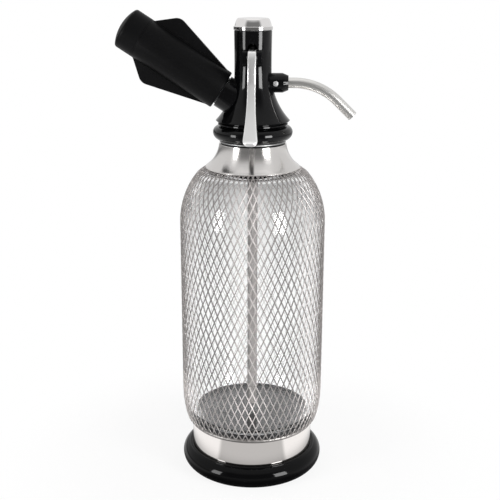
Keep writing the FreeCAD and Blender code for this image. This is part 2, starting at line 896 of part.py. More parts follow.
def cut_port_bores(body):
    """Socket for the port's nipple, the check valve's chamber and the gas way down into the bottle."""
    rod(body, "Subtractive", "nipple_socket", d.nipple_shank + 0.02, d.nipple_in + 0.1,
        along_charger(-d.nipple_in.value - 0.1))
    rod(body, "Subtractive", "check_chamber", d.check_radius, d.check_foot,
        along_charger(-d.check_foot.value))
    mid_chamber = along_charger(-d.check_foot.value + 0.9).Base
    rod(body, "Subtractive", "gas_way", d.gas_bore, mid_chamber.z - d.recess_roof + 1.0,
        place_at(mid_chamber.x, 0, d.recess_roof.value - 1.0))


def make_head_ring():
    """Round grip ring pressed on the head's skirt, with a tighter round above than below."""
    inner = d.head_skirt + 0.05
    lower = (d.head_ring_radius - d.head_ring_lower, d.head_ring_height)
    upper = (d.head_ring_radius - d.head_ring_upper, d.head_ring_height)
    low = d.head_ring_height - circle_at(d.head_ring_lower, lower[0], inner + 0.4)
    high = d.head_ring_height + d.head_ring_upper
    turned("head_ring", [
        corner(inner, low),
        corner(inner + 0.4, low),
        bend(d.head_ring_radius, d.head_ring_height, lower, left=True),
        bend(upper[0], high, upper, left=True),
        corner(inner, high),
    ])


def make_cap_gasket():
    """Thin ring under the cap's flange."""
    turned("cap_gasket", box_outline(
        d.cap_bore + 0.1, d.tower_top, d.tower_radius - 0.3, d.tower_top + d.cap_gasket_wall,
    ))


def make_top_cap():
    """Chromed screw cap: a domed button over a flange, with a hollow plug that holds the valve's spring."""
    under = d.tower_top + d.cap_gasket_wall
    round_r = d.cap_radius - d.cap_round
    dome_edge = d.cap_shoulder + d.cap_round
    rise = d.cap_crown - dome_edge
    dome = (round_r * round_r + rise * rise) / (2 * rise)
    turned("top_cap", [
        corner(0, d.cap_hollow_roof),
        corner(d.cap_hollow, d.cap_hollow_roof),
        corner(d.cap_hollow, d.cap_plug_foot),
        corner(d.cap_plug, d.cap_plug_foot),
        corner(d.cap_plug, under),
        corner(d.cap_flange_radius - 0.3, under),
        corner(d.cap_flange_radius, under + 0.3),
        corner(d.cap_flange_radius, d.cap_flange_top - 0.5),
        corner(d.cap_flange_radius - 0.5, d.cap_flange_top),
        corner(d.cap_radius, d.cap_flange_top),
        corner(d.cap_radius, d.cap_shoulder),
        bend(round_r, dome_edge, (round_r, d.cap_shoulder), left=True),
        bend(0, d.cap_crown, (0, d.cap_crown - dome), left=True),
    ])


# ---------------------------------------------------------------- valve and lever


def make_stem_bush():
    """Brass bush that guides the valve's stem and closes the throat, with a groove for the stem's seal."""
    bore = d.stem_slide + d.stem_fit
    groove = d.stem_slide + 1.3
    turned("stem_bush", [
        corner(bore, d.bush_foot),
        corner(d.throat_radius - 0.05, d.bush_foot),
        corner(d.throat_radius - 0.05, d.chamber_foot),
        corner(bore, d.chamber_foot),
        corner(bore, d.seal_height + d.seal_tube),
        corner(groove, d.seal_height + d.seal_tube),
        corner(groove, d.seal_height - d.seal_tube),
        corner(bore, d.seal_height - d.seal_tube),
    ])


def make_stem_seal():
    """Rubber ring in the bush's groove, round the stem."""
    low = d.seal_height - d.seal_tube + 0.05
    high = d.seal_height + d.seal_tube - 0.05
    turned("stem_seal", box_outline(d.stem_slide + d.stem_fit, low, d.stem_slide + 1.25, high))


def make_valve_seat():
    """Brass ring at the foot of the throat, with a raised lip that the washer closes on."""
    outer = d.throat_radius - 0.05
    turned("valve_seat", [
        corner(d.passage_radius, d.throat_foot),
        corner(outer, d.throat_foot),
        corner(outer, d.seat_top - 0.6),
        corner(d.passage_radius + 0.9, d.seat_top - 0.6),
        corner(d.passage_radius + 0.5, d.seat_top),
        corner(d.passage_radius, d.seat_top),
    ])


def make_valve_spindle():
    """Steel spindle: a disc for the washer, a sliding stem and a thin neck that the fork straddles."""
    stud = 1.2
    turned("valve_spindle", [
        corner(0, d.washer_foot + 0.3),
        corner(stud, d.washer_foot + 0.3),
        corner(stud, d.washer_top),
        corner(d.washer_radius - 0.2, d.washer_top),
        corner(d.washer_radius - 0.2, d.stem_disc_top),
        corner(d.stem_radius, d.stem_disc_top + 0.8),
        corner(d.stem_radius, d.bush_foot - 3.2),
        corner(d.stem_slide, d.bush_foot - 2.7),
        corner(d.stem_slide, d.stem_shoulder),
        corner(d.stem_neck, d.stem_shoulder + 0.5),
        corner(d.stem_neck, d.stem_top),
        corner(0, d.stem_top),
    ])


def make_valve_washer():
    """Rubber washer on the spindle's stud."""
    turned("valve_washer", box_outline(1.25, d.washer_foot, d.washer_radius, d.washer_top))


def make_spindle_nut():
    """Round nut on the spindle: the lever's fork lifts it and the spring presses on it."""
    turned("spindle_nut", [
        corner(d.stem_neck + 0.02, d.nut_foot),
        corner(d.nut_radius, d.nut_foot),
        corner(d.nut_radius, d.nut_top),
        corner(d.spring_radius - 1.3, d.nut_top),
        corner(d.spring_radius - 1.5, d.nut_top + 1.2),
        corner(d.stem_neck + 0.02, d.nut_top + 1.2),
    ])


def make_valve_spring():
    """Coil spring between the spindle's nut and the roof of the cap."""
    runs_each_turn = 12
    wire = d.spring_wire.value
    low = d.nut_top.value + wire + 0.05
    high = d.cap_hollow_roof.value - wire - 0.05
    count = int(d.spring_turns.value) * runs_each_turn
    points = []
    for step in range(count + 1):
        angle = 2 * math.pi * step / runs_each_turn
        height = low + (high - low) * step / count
        points.append(Vector(d.spring_radius.value * math.cos(angle),
                             d.spring_radius.value * math.sin(angle), height))
    spring = swept_wire("valve_spring", points, wire, 4)
    spring.Label = "valve_spring"
    parts["valve_spring"] = spring


def make_lever_pin():
    """Steel pin through the ears."""
    pin = new_body("lever_pin")
    rod(pin, "Additive", "pin_rod", d.pin_radius, d.ear_width,
        place_at(-d.ear_width.value / 2, -d.pin_reach.value, d.pin_height.value, Vector(1, 0, 0)))


def lever_side():
    """Side outline of the lever in the YZ plane: inner arm, crook, flared strap and curled end."""
    out_y = -(d.pin_reach + d.lever_top_round)
    in_y = out_y + d.lever_wall
    crook_y = out_y - d.lever_crook_radius
    lean_s = sine(d.lever_flare)
    lean_c = cosine(d.lever_flare)
    inner_crook = d.lever_crook_radius + d.lever_wall
    crook = (crook_y, d.lever_crook)
    out_low = (crook_y + d.lever_crook_radius * lean_c, d.lever_crook - d.lever_crook_radius * lean_s)
    in_low = (crook_y + inner_crook * lean_c, d.lever_crook - inner_crook * lean_s)
    step_y = -(d.lever_straight * lean_s)
    step_z = -(d.lever_straight * lean_c)
    curl = (out_low[0] + step_y - d.lever_curl_radius * lean_c,
            out_low[1] + step_z + d.lever_curl_radius * lean_s)
    inner_curl = d.lever_curl_radius + d.lever_wall
    curl_s = sine(d.lever_curl)
    curl_c = cosine(d.lever_curl)
    out_tip = (curl[0] + d.lever_curl_radius * curl_c, curl[1] - d.lever_curl_radius * curl_s)
    in_tip = (curl[0] + inner_curl * curl_c, curl[1] - inner_curl * curl_s)
    tip = ((out_tip[0] + in_tip[0]) / 2, (out_tip[1] + in_tip[1]) / 2)
    top_y = out_y + d.lever_top_round
    top_z = d.lever_top - d.lever_top_round
    hub_y = d.lever_hub - d.pin_reach
    hub_z = d.pin_height - d.lever_hub
    arm_foot = d.nose_height - d.nose_radius + 0.4
    return [
        corner(top_y, d.lever_top),
        bend(out_y, top_z, (top_y, top_z), left=True),
        corner(out_y, d.lever_crook),
        bend(out_low[0], out_low[1], crook, left=False),
        corner(out_low[0] + step_y, out_low[1] + step_z),
        bend(out_tip[0], out_tip[1], curl, left=False),
        bend(in_tip[0], in_tip[1], tip, left=True),
        bend(in_low[0] + step_y, in_low[1] + step_z, curl, left=True),
        corner(in_low[0], in_low[1]),
        bend(in_y, d.lever_crook, crook, left=True),
        corner(in_y, hub_z),
        corner(hub_y - 1.1, hub_z),
        corner(hub_y, hub_z + 1.1),
        corner(hub_y, arm_foot),
        corner(0, d.nose_height - d.nose_radius),
        bend(d.nose_radius, d.nose_height, (0, d.nose_height), left=True),
        bend(0, d.lever_top, (0, d.nose_height), left=True),
    ]


def lever_front():
    """Half of the lever's front outline in the XZ plane, closed on the axis: narrow above, broad below."""
    half = d.lever_width / 2
    flank = (half + d.lever_flank_radius, d.lever_flank_top)
    foot_half = flank[0] - circle_at(d.lever_flank_radius, d.lever_flank_top, d.lever_flank_foot)
    corner_z = d.lever_flank_foot
    foot_z = corner_z - d.lever_corner
    return [
        bend(-(foot_half - d.lever_corner), foot_z, (-(foot_half - d.lever_corner), corner_z), left=True),
        corner(-(foot_half - d.lever_corner), foot_z - 3.0),
        corner(foot_half - d.lever_corner, foot_z - 3.0),
        corner(foot_half - d.lever_corner, foot_z),
        bend(foot_half, corner_z, (foot_half - d.lever_corner, corner_z), left=True),
        bend(half, d.lever_flank_top, flank, left=False),
        corner(half, d.lever_top + 2.0),
        corner(-half, d.lever_top + 2.0),
        corner(-half, d.lever_flank_top),
        bend(-foot_half, corner_z, (-flank[0], d.lever_flank_top), left=False),
    ]


def sketch_extrusion(name, rotation, outline, depth):
    """An outline in a turned plane through the origin, extruded to both sides."""
    sketch = doc.addObject("Sketcher::SketchObject", f"{name}_outline")
    sketch.Placement = Placement(Vector(0, 0, 0), rotation)
    draw(sketch, outline)
    block = doc.addObject("Part::Extrusion", name)
    block.Base = sketch
    block.DirMode = "Normal"
    block.Solid = True
    block.Symmetric = True
    block.setExpression("LengthFwd", depth.text)
    for piece in (sketch, block):
        piece.Visibility = False
    return block


def make_lever():
    """Cast lever: where its side and front outlines meet, with a fork for the stem and the pin's hole."""
    upright = Rotation(Vector(1, 0, 0), 90)
    across = d.lever_width * 4
    side = sketch_extrusion("lever_side", Rotation(Vector(0, 0, 1), 90) * upright, lever_side(), across)
    front = sketch_extrusion("lever_front", upright, lever_front(), d.lever_straight * 3)
    blank = doc.addObject("Part::Common", "lever_blank")
    blank.Base = side
    blank.Tool = front
    hole = doc.addObject("Part::Cylinder", "lever_hole")
    hole.setExpression("Radius", (d.pin_radius + d.lever_play).text)
    hole.setExpression("Height", across.text)
    hole.Placement = place_at(-across.value / 2, -d.pin_reach.value, d.pin_height.value, Vector(1, 0, 0))
    drilled = doc.addObject("Part::Cut", "lever_drilled")
    drilled.Base = blank
    drilled.Tool = hole
    gap = doc.addObject("Part::Box", "fork_gap")
    gap.setExpression("Length", d.fork_width.text)
    gap.setExpression("Width", (d.fork_depth + d.nose_radius + 1.0).text)
    gap.setExpression("Height", (d.nose_radius * 3).text)
    gap.Placement = Placement(
        Vector(-d.fork_width.value / 2, -d.fork_depth.value, d.nose_height.value - d.nose_radius.value * 1.5),
        Rotation(),
    )
    lever = doc.addObject("Part::Cut", "lever")
    lever.Label = "lever"
    lever.Base = drilled
    lever.Tool = gap
    parts["lever"] = lever


# ---------------------------------------------------------------- spout and dip tube


def make_spout_tube():
    """Bent steel tube: level out of the ferrule, then down at an angle, cut square."""
    height = d.spout_height.value
    turn_angle = math.radians(d.spout_turn.value)
    end = Vector(d.spout_end_x.value, 0, d.spout_end_z.value)
    knee_x = end.x - (height - end.z) / math.tan(turn_angle)
    tangent = d.spout_bend.value * math.tan(turn_angle / 2)
    start = Vector(d.spout_root.value + 0.2, 0, height)
    bend_start = Vector(knee_x - tangent, 0, height)
    centre = bend_start - Vector(0, 0, d.spout_bend.value)
    bend_mid = centre + Vector(math.sin(turn_angle / 2), 0, math.cos(turn_angle / 2)) * d.spout_bend.value
    bend_end = centre + Vector(math.sin(turn_angle), 0, math.cos(turn_angle)) * d.spout_bend.value
    spine = Part.Wire([
        Part.LineSegment(start, bend_start).toShape(),
        Part.Arc(bend_start, bend_mid, bend_end).toShape(),
        Part.LineSegment(bend_end, end).toShape(),
    ])
    path = doc.addObject("Part::Feature", "spout_path")
    path.Shape = spine
    solids = []
    for name, radius in (("spout_outside", d.spout_radius), ("spout_inside", d.spout_radius - d.spout_wall)):
        ring = doc.addObject("Part::Circle", f"{name}_ring")
        ring.setExpression("Radius", radius.text)
        ring.Placement = place_at(*start, axis=Vector(1, 0, 0))
        sweep = doc.addObject("Part::Sweep", name)
        sweep.Sections = [ring]
        sweep.Spine = (path, ["Edge1", "Edge2", "Edge3"])
        sweep.Solid = True
        solids.append(sweep)
        ring.Visibility = False
    tube = doc.addObject("Part::Cut", "spout_tube")
    tube.Label = "spout_tube"
    tube.Base, tube.Tool = solids
    parts["spout_tube"] = tube


def make_spout_ferrule():
    """Black ferrule over the spout's boss: its root is cut to the tower's round and its nose is chamfered."""
    along_x = place_at(0, 0, d.spout_height.value, Vector(1, 0, 0))
    body = new_body("spout_ferrule", along_x)
    root_x = d.tower_radius - 2.5
    turn(body, "Revolution", "ferrule_turning", [
        corner(d.boss_radius + 0.05, root_x),
        corner(d.ferrule_radius, root_x),
        corner(d.ferrule_radius, d.ferrule_nose),
        corner(d.ferrule_nose_radius, d.ferrule_end),
        corner(d.spout_radius + 0.05, d.ferrule_end),
        corner(d.spout_radius + 0.05, d.boss_end + 2.0),
        corner(d.boss_radius + 0.05, d.boss_end + 2.0),
    ])
    fit = 0.05
    above = d.ferrule_radius + 1.0
    below = d.spout_height - d.bell_top
    sweep_centre = (below, d.tower_radius + d.bell_sweep)
    sweep = d.bell_sweep - fit
    turn(body, "Groove", "tower_saddle", [
        corner(-above, 0),
        corner(above, 0),
        corner(above, sweep_centre[1] - circle_at(sweep, below, above)),
        bend(below, d.tower_radius + fit, sweep_centre, left=False),
        corner(-above, d.tower_radius + fit),
    ], axis="H_Axis")
    outside = -d.ferrule_radius.value - 1.0
    rod(body, "Subtractive", "screw_hole", d.screw_radius + 0.02, d.ferrule_radius + 1.0,
        along_x.inverse() * place_at(d.screw_x.value, outside, d.spout_height.value, Vector(0, 1, 0)))


def make_spout_screw():
    """Set screw through the ferrule into the boss; its rounded head stands just proud."""
    tip = d.spout_radius + 0.15
    face = d.ferrule_radius - 0.25
    place = place_at(d.screw_x.value, 0, d.spout_height.value, Vector(0, -1, 0))
    dome = d.ferrule_radius + 0.15
    rise = dome - face
    sweep = (d.screw_radius * d.screw_radius + rise * rise) / (2 * rise)
    turned("spout_screw", [
        corner(0, tip),
        corner(d.screw_radius, tip),
        corner(d.screw_radius, face),
        bend(0, dome, (0, dome - sweep), left=True),
    ], place)


def make_spout_seal():
    """Rubber ring in the ferrule, round the tube and against the boss."""
    place = place_at(0, 0, d.spout_height.value, Vector(1, 0, 0))
    turned("spout_seal", box_outline(
        d.spout_radius + 0.05, d.boss_end + 0.1, d.boss_radius, d.boss_end + 1.9,
    ), place)


def make_dip_tube():
    """Long tube from the head down to just above the bottle's floor."""
    turned("dip_tube", box_outline(
        d.tube_radius - d.tube_wall, d.tube_foot, d.tube_radius, d.tube_seat - 0.1,
    ))


def make_tube_sleeve():
    """Rubber sleeve that grips the dip tube in the head's socket and hangs a little way down it."""
    inner = d.tube_radius + 0.02
    turned("tube_sleeve", [
        corner(inner, d.sleeve_foot),
        corner(d.sleeve_radius - 0.9, d.sleeve_foot),
        corner(d.sleeve_radius, d.sleeve_foot + 1.5),
        corner(d.sleeve_radius, d.tube_socket_top - 0.1),
        corner(inner, d.tube_socket_top - 0.1),
    ])


# ---------------------------------------------------------------- charger port and holder


def make_charger_port():
    """Steel nipple in the head's boss: the holder screws on it and the charger's neck goes inside it."""
    turned("charger_port", [
        corner(d.pierce_radius + 0.02, -d.nipple_in),
        corner(d.nipple_shank, -d.nipple_in),
        corner(d.nipple_shank, -d.port_gap + 0.02),
        corner(d.nipple_radius, -d.port_gap + 0.02),
        corner(d.nipple_radius, d.nipple_out - 0.5),
        corner(d.nipple_radius - 0.5, d.nipple_out),
        corner(d.nipple_bore, d.nipple_out),
        corner(d.nipple_bore, 0.3),
        corner(d.pierce_radius + 0.02, 0.3),
    ], charger_frame)


def make_piercing_pin():
    """Hollow hardened pin in the nipple; the check ball seats on its inner end."""
    turned("piercing_pin", [
        corner(d.pierce_bore + 0.9, -d.pierce_in),
        corner(d.pierce_radius, -d.pierce_in),
        corner(d.pierce_radius, 0.3),
        corner(d.pierce_tip, 0.3),
        corner(d.pierce_tip, d.pierce_out - 2.0),
        corner(d.pierce_bore, d.pierce_out),
        corner(d.pierce_bore, -d.pierce_in + 1.0),
    ], charger_frame)


def make_port_gasket():
    """Rubber ring at the bottom of the nipple, round the pin, that seals the charger's neck."""
    turned("port_gasket", box_outline(d.pierce_tip + 0.1, 0.32, d.nipple_bore - 0.05, 1.9), charger_frame)


def make_check_ball():
    """Rubber ball that lets gas in past it and is pushed up on the pin's end by the bottle's pressure."""
    ball = doc.addObject("Part::Sphere", "check_ball")
    ball.Label = "check_ball"
    ball.setExpression("Radius", d.ball_radius.text)
    ball.Placement = along_charger(-d.check_foot.value + d.ball_radius.value + 0.05)
    parts["check_ball"] = ball


def make_holder_grip():
    """Moulded grip round the holder: a tapered tube with two flat wings opposite each other."""
    body = new_body("holder_grip", charger_frame)
    bore = d.liner_radius + 0.05
    turn(body, "Revolution", "grip_turning", [
        corner(bore, 0),
        corner(d.holder_mouth - 0.6, 0),
        corner(d.holder_mouth, 0.6),
        corner(d.holder_radius, d.holder_seam),
        corner(bore, d.holder_seam),
    ])
    for name, side in (("wing_up", 1), ("wing_down", -1)):
        slab(body, "Pad", name, "XZ_Plane", wing_outline(side), d.wing_wall)


def wing_outline(side):
    """A wing on one side of the grip: a long slope up from the mouth, a round corner and a steep end."""
    foot = d.holder_mouth - 0.3
    start = (foot, d.wing_start)
    peak = (d.wing_reach, d.wing_peak)
    end = (foot, d.wing_end)
    before, after, middle = rounded(start, peak, end, d.wing_corner)
    return [
        corner(side * start[0], start[1]),
        corner(side * before[0], before[1]),
        bend(side * after[0], after[1], (side * middle[0], middle[1]), left=side > 0),
        corner(side * end[0], end[1]),
    ]


def make_holder_cap():
    """Domed end of the holder, flush with the grip at the seam, with a rounded edge."""
    bore = d.liner_radius + 0.05
    dome_centre = d.holder_crown - d.holder_dome
    round_r = d.holder_radius - d.holder_rounding
    between = d.holder_dome - d.holder_rounding
    round_z = dome_centre + circle_at(between, 0, round_r)
    edge_r = round_r * d.holder_dome / between
    edge_z = dome_centre + (round_z - dome_centre) * d.holder_dome / between
    turned("holder_cap", [
        corner(0, d.liner_end + 0.05),
        corner(bore, d.liner_end + 0.05),
        corner(bore, d.holder_seam + 0.05),
        corner(d.holder_radius, d.holder_seam + 0.05),
        corner(d.holder_radius, round_z),
        bend(edge_r, edge_z, (round_r, round_z), left=True),
        bend(0, d.holder_crown, (0, dome_centre), left=True),
    ], charger_frame)


def make_holder_liner():
    """Aluminium liner: threaded at the mouth, then a plain bore for the charger and a pocket for the pad."""
    turned("holder_liner", [
        corner(d.liner_mouth, 0.3),
        corner(d.liner_radius, 0.3),
        corner(d.liner_radius, d.liner_end),
        corner(0, d.liner_end),
        corner(0, d.liner_floor),
        corner(d.pad_pocket, d.liner_floor),
        corner(d.pad_pocket, d.liner_shoulder),
        corner(d.liner_bore, d.liner_shoulder),
        corner(d.liner_bore, d.liner_step),
        corner(d.liner_mouth, d.liner_step),
    ], charger_frame)


def make_holder_pad():
    """Loose rubber pad in the liner's pocket, under the charger's round end."""
    turned("holder_pad", box_outline(
        0, d.liner_shoulder + 0.4, d.pad_pocket - 0.3, d.liner_floor - 0.1,
    ), charger_frame)


# ---------------------------------------------------------------- build and write


def check_and_write():
    """Stop on any failed object or bad shape, then write each node's solid."""
    doc.recompute()
    for thing in doc.Objects:
        if "Invalid" in thing.State or "Error" in thing.State:
            raise RuntimeError(f"{thing.Name}: {thing.State}")
    os.makedirs("parts", exist_ok=True)
    for label, thing in parts.items():
        shape = thing.Shape
        if shape.isNull() or not shape.isValid() or shape.Volume <= 0:
            raise RuntimeError(f"{label} has no valid solid")
        shape.exportStep(f"parts/{label}.step")
        print(f"{label:16s} {shape.Volume:10.1f} mm3  {len(shape.Solids)} solid")


for make in (
    make_base_ring, make_base_cup, make_bottle_cushion, make_base_band, make_glass_bottle, make_neck_ring,
    make_collar, make_neck_trim, make_mesh_sleeve,
    make_head_gasket, make_head_body, make_head_ring, make_cap_gasket, make_top_cap,
    make_stem_bush, make_stem_seal, make_valve_seat, make_valve_spindle, make_valve_washer,
    make_spindle_nut, make_valve_spring, make_lever_pin, make_lever,
    make_spout_tube, make_spout_ferrule, make_spout_screw, make_spout_seal, make_dip_tube, make_tube_sleeve,
    make_charger_port, make_piercing_pin, make_port_gasket, make_check_ball,
    make_holder_grip, make_holder_cap, make_holder_liner, make_holder_pad,
):
    make()

check_and_write()
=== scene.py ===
import math

import bpy
import numpy as np
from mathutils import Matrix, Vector


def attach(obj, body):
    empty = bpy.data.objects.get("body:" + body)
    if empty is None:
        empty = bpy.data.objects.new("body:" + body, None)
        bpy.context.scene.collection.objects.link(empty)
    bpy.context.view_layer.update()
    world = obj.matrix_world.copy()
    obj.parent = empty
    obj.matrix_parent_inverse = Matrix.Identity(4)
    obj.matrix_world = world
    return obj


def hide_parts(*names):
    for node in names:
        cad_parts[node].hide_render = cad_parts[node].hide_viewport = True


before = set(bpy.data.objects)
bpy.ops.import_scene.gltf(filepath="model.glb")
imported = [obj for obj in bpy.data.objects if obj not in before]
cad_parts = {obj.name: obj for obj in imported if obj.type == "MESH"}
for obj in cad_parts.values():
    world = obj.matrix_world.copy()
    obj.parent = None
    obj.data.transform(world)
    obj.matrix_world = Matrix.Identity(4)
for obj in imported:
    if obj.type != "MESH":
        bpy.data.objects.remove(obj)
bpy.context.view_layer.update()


# ---------------------------------------------------------------- studio floor and backdrop
# A white table in a white room. The camera and the glass see plain white and the siphon's soft shadow.
# Polished parts mirror the room: grey in front, dark low on the left, light on the right, white above and
# behind.

CAMERA_TURN = 2.5
toward_camera = (math.sin(math.radians(CAMERA_TURN)), -math.cos(math.radians(CAMERA_TURN)), 0)
camera_right = (math.cos(math.radians(CAMERA_TURN)), math.sin(math.radians(CAMERA_TURN)), 0)
FRONT_GREY, LEFT_DARK, RIGHT_LIGHT, ROOM_WHITE, ROOM_FILL = 0.20, 0.14, 0.95, 0.84, 0.42
PLAIN_WHITE = (1, 1, 1, 1)
# Where one of the room's levels turns into the next: as the cosine to the right, the cosine to the front, or
# the sine of the height.
LEFT_TO_RIGHT, FRONT_EDGE, BACK_EDGE = (-0.1, 0.6), (0.55, 0.80), (-0.98, -0.88)
UPPER_FRONT_EDGE, HORIZON, CEILING = (0.45, 0.80), (0.0, 0.15), (0.55, 0.85)


def node_of(tree, kind, **inputs):
    """A new shader node of a kind, with some of its inputs set by name."""
    node = tree.nodes.new(f"ShaderNode{kind}")
    for name, value in inputs.items():
        node.inputs[name.replace("_", " ")].default_value = value
    return node


def link(tree, source, output, target, name):
    """Join one node's output to another node's input."""
    tree.links.new(source.outputs[output], target.inputs[name])


def feed(tree, value, socket):
    """Give an input a number, or join another node's output to it."""
    if isinstance(value, (int, float)):
        socket.default_value = value
    else:
        tree.links.new(value, socket)


def math_node(tree, operation, *values):
    """A Math node fed by sockets or plain numbers."""
    node = node_of(tree, "Math")
    node.operation = operation
    for value, socket in zip(values, node.inputs):
        feed(tree, value, socket)
    return node.outputs[0]


def ramp(tree, value, span, before, after):
    """A smooth step from one level to another over a span: before + (after - before) * (3 t^2 - 2 t^3).

    t is how far the value lies along the span, held between 0 and 1. A level is a number or an output.
    """
    step = node_of(tree, "MapRange", From_Min=span[0], From_Max=span[1])
    step.interpolation_type = "SMOOTHSTEP"
    feed(tree, value, step.inputs["Value"])
    feed(tree, before, step.inputs["To Min"])
    feed(tree, after, step.inputs["To Max"])
    return step.outputs["Result"]


def mixed(tree, share, first, second):
    """A shader from two nodes' shaders: (1 - share) of the first and share of the second."""
    mix = node_of(tree, "MixShader")
    tree.links.new(share, mix.inputs["Fac"])
    tree.links.new(first.outputs[0], mix.inputs[1])
    tree.links.new(second.outputs[0], mix.inputs[2])
    return mix


def bearing_along(tree, source, output, heading):
    """The cosine of the bearing between a direction or a place and a level heading."""
    level = node_of(tree, "VectorMath")
    level.operation = "MULTIPLY"
    level.inputs[1].default_value = (1, 1, 0)
    unit = node_of(tree, "VectorMath")
    unit.operation = "NORMALIZE"
    along = node_of(tree, "VectorMath")
    along.operation = "DOT_PRODUCT"
    along.inputs[1].default_value = heading
    link(tree, source, output, level, "Vector")
    link(tree, level, "Vector", unit, "Vector")
    link(tree, unit, "Vector", along, "Vector")
    return along.outputs["Value"]


def new_material(name):
    """An empty node material and its tree, with the output node in place."""
    material = bpy.data.materials.new(name)
    material.use_nodes = True
    tree = material.node_tree
    tree.nodes.clear()
    return material, tree, node_of(tree, "OutputMaterial")


world = bpy.data.worlds.new("white_room")
bpy.context.scene.world = world
world.use_nodes = True
room = world.node_tree
room.nodes.clear()
direction = node_of(room, "TexCoord")
upward = node_of(room, "SeparateXYZ")
link(room, direction, "Generated", upward, "Vector")
in_front = bearing_along(room, direction, "Generated", toward_camera)
to_right = bearing_along(room, direction, "Generated", camera_right)
sides = ramp(room, to_right, LEFT_TO_RIGHT, LEFT_DARK, RIGHT_LIGHT)
walls = ramp(room, in_front, FRONT_EDGE, sides, FRONT_GREY)
walls = ramp(room, in_front, BACK_EDGE, ROOM_WHITE, walls)
upper_walls = ramp(room, in_front, UPPER_FRONT_EDGE, ROOM_WHITE, FRONT_GREY)
round_about = ramp(room, upward.outputs["Z"], HORIZON, walls, upper_walls)
round_about = ramp(room, upward.outputs["Z"], CEILING, round_about, ROOM_WHITE)
seen = node_of(room, "LightPath").outputs
mirrored = node_of(room, "Background")
room.links.new(round_about, mirrored.inputs["Color"])
fill = node_of(room, "Background", Color=PLAIN_WHITE, Strength=ROOM_FILL)
shown = node_of(room, "Background", Color=PLAIN_WHITE)
straight = math_node(room, "MAXIMUM", seen["Is Camera Ray"], seen["Is Transmission Ray"])
light_of_room = mixed(room, straight, mixed(room, seen["Is Glossy Ray"], fill, mirrored), shown)
link(room, light_of_room, 0, node_of(room, "OutputWorld"), "Surface")

TABLE_HALF = 3.0
TABLE_PAINT = (0.88, 0.88, 0.88, 1)
# As mirrors see it, the table glows with painted light: white at the sides, grey in front, fading to a far
# level, and a painted shadow darkens it close round the base.
TABLE_SIDES, TABLE_FRONT, TABLE_FAR, PAINTED_SHADOW_LEVEL = 1.0, 0.56, 0.45, 0.12
# Spans of the distance from the siphon's axis (metres), and of the cosine to the front.
PAINTED_SHADOW_REACH, SHADOW_REACH, FRONT_DEPTH, SIDE_DEPTH = (0.052, 0.085), (0.08, 0.20), (0.20, 0.80), (0.35, 1.2)
FRONT_SECTOR = (0.61, 0.71)
SHADOW_SHARE = 0.12
corners = np.array([(-1, -1, 0), (1, -1, 0), (1, 1, 0), (-1, 1, 0)]) * TABLE_HALF
table_mesh = bpy.data.meshes.new("table")
table_mesh.from_pydata(corners.tolist(), [], [[0, 1, 2, 3]])
table = bpy.data.objects.new("table", table_mesh)
bpy.context.scene.collection.objects.link(table)
white, tree, out = new_material("white_table")
place = node_of(tree, "NewGeometry")
distance = node_of(tree, "VectorMath")
distance.operation = "LENGTH"
link(tree, place, "Position", distance, "Vector")
away = distance.outputs["Value"]
in_front = bearing_along(tree, place, "Position", toward_camera)
front = ramp(tree, away, FRONT_DEPTH, TABLE_FRONT, FRONT_GREY)
far_sides = ramp(tree, away, SIDE_DEPTH, TABLE_SIDES, TABLE_FAR)
painted_table_glow = ramp(tree, in_front, FRONT_SECTOR, far_sides, front)
# Painted shadow: mirrors see the table darker close round the base.
painted_base_shadow = ramp(tree, away, PAINTED_SHADOW_REACH, PAINTED_SHADOW_LEVEL, 1.0)
mirrored = node_of(tree, "Emission")
tree.links.new(math_node(tree, "MULTIPLY", painted_table_glow, painted_base_shadow), mirrored.inputs["Color"])
paint = node_of(tree, "BsdfDiffuse", Color=TABLE_PAINT)
plain = node_of(tree, "Emission", Color=PLAIN_WHITE)
seen = node_of(tree, "LightPath").outputs
straight = math_node(tree, "MAXIMUM", seen["Is Camera Ray"], seen["Is Transmission Ray"])
out_of_shadow = ramp(tree, away, SHADOW_REACH, 1 - SHADOW_SHARE, 1.0)
shown = mixed(tree, math_node(tree, "MULTIPLY", straight, out_of_shadow), paint, plain)
link(tree, mixed(tree, seen["Is Glossy Ray"], shown, mirrored), 0, out, "Surface")
table.data.materials.append(white)


# ---------------------------------------------------------------- lamps and camera
# Two tall soft boxes stand either side of the camera and draw the two upright streaks on everything polished.
# A wide soft lamp overhead and behind fills the top.

# Metres, degrees, and millimetres of lens and sensor.
CAMERA_AWAY, CAMERA_HEIGHT = 0.638, 0.3486
CAMERA_DOWN, CAMERA_ASIDE, CAMERA_ROLL = 16.3, 0.194, -0.14
CAMERA_LENS, CAMERA_SENSOR = 68.04, 36.0


def lamp(name, turn, away, height, width, tall, power, aim_height):
    """An area lamp at (away * sin t, -away * cos t, height) that faces the axis at its aim height.

    t is the lamp's turn to the right from where the camera stands (degrees).
    """
    light = bpy.data.lights.new(name, "AREA")
    light.shape = "RECTANGLE"
    light.size = width
    light.size_y = tall
    light.energy = power
    made = bpy.data.objects.new(name, light)
    bpy.context.scene.collection.objects.link(made)
    angle = math.radians(turn + CAMERA_TURN)
    made.location = (away * math.sin(angle), -away * math.cos(angle), height)
    toward = Vector((0, 0, aim_height)) - made.location
    made.rotation_mode = "QUATERNION"
    made.rotation_quaternion = toward.to_track_quat("-Z", "Y")


lamp("left_box", turn=-57, away=0.9, height=0.25, width=0.24, tall=0.50, power=5.6, aim_height=0.25)
lamp("right_box", turn=46, away=0.9, height=0.255, width=0.32, tall=0.51, power=11.0, aim_height=0.255)
lamp("top_box", turn=180, away=0.2, height=1.4, width=1.0, tall=1.0, power=0.8, aim_height=0.15)

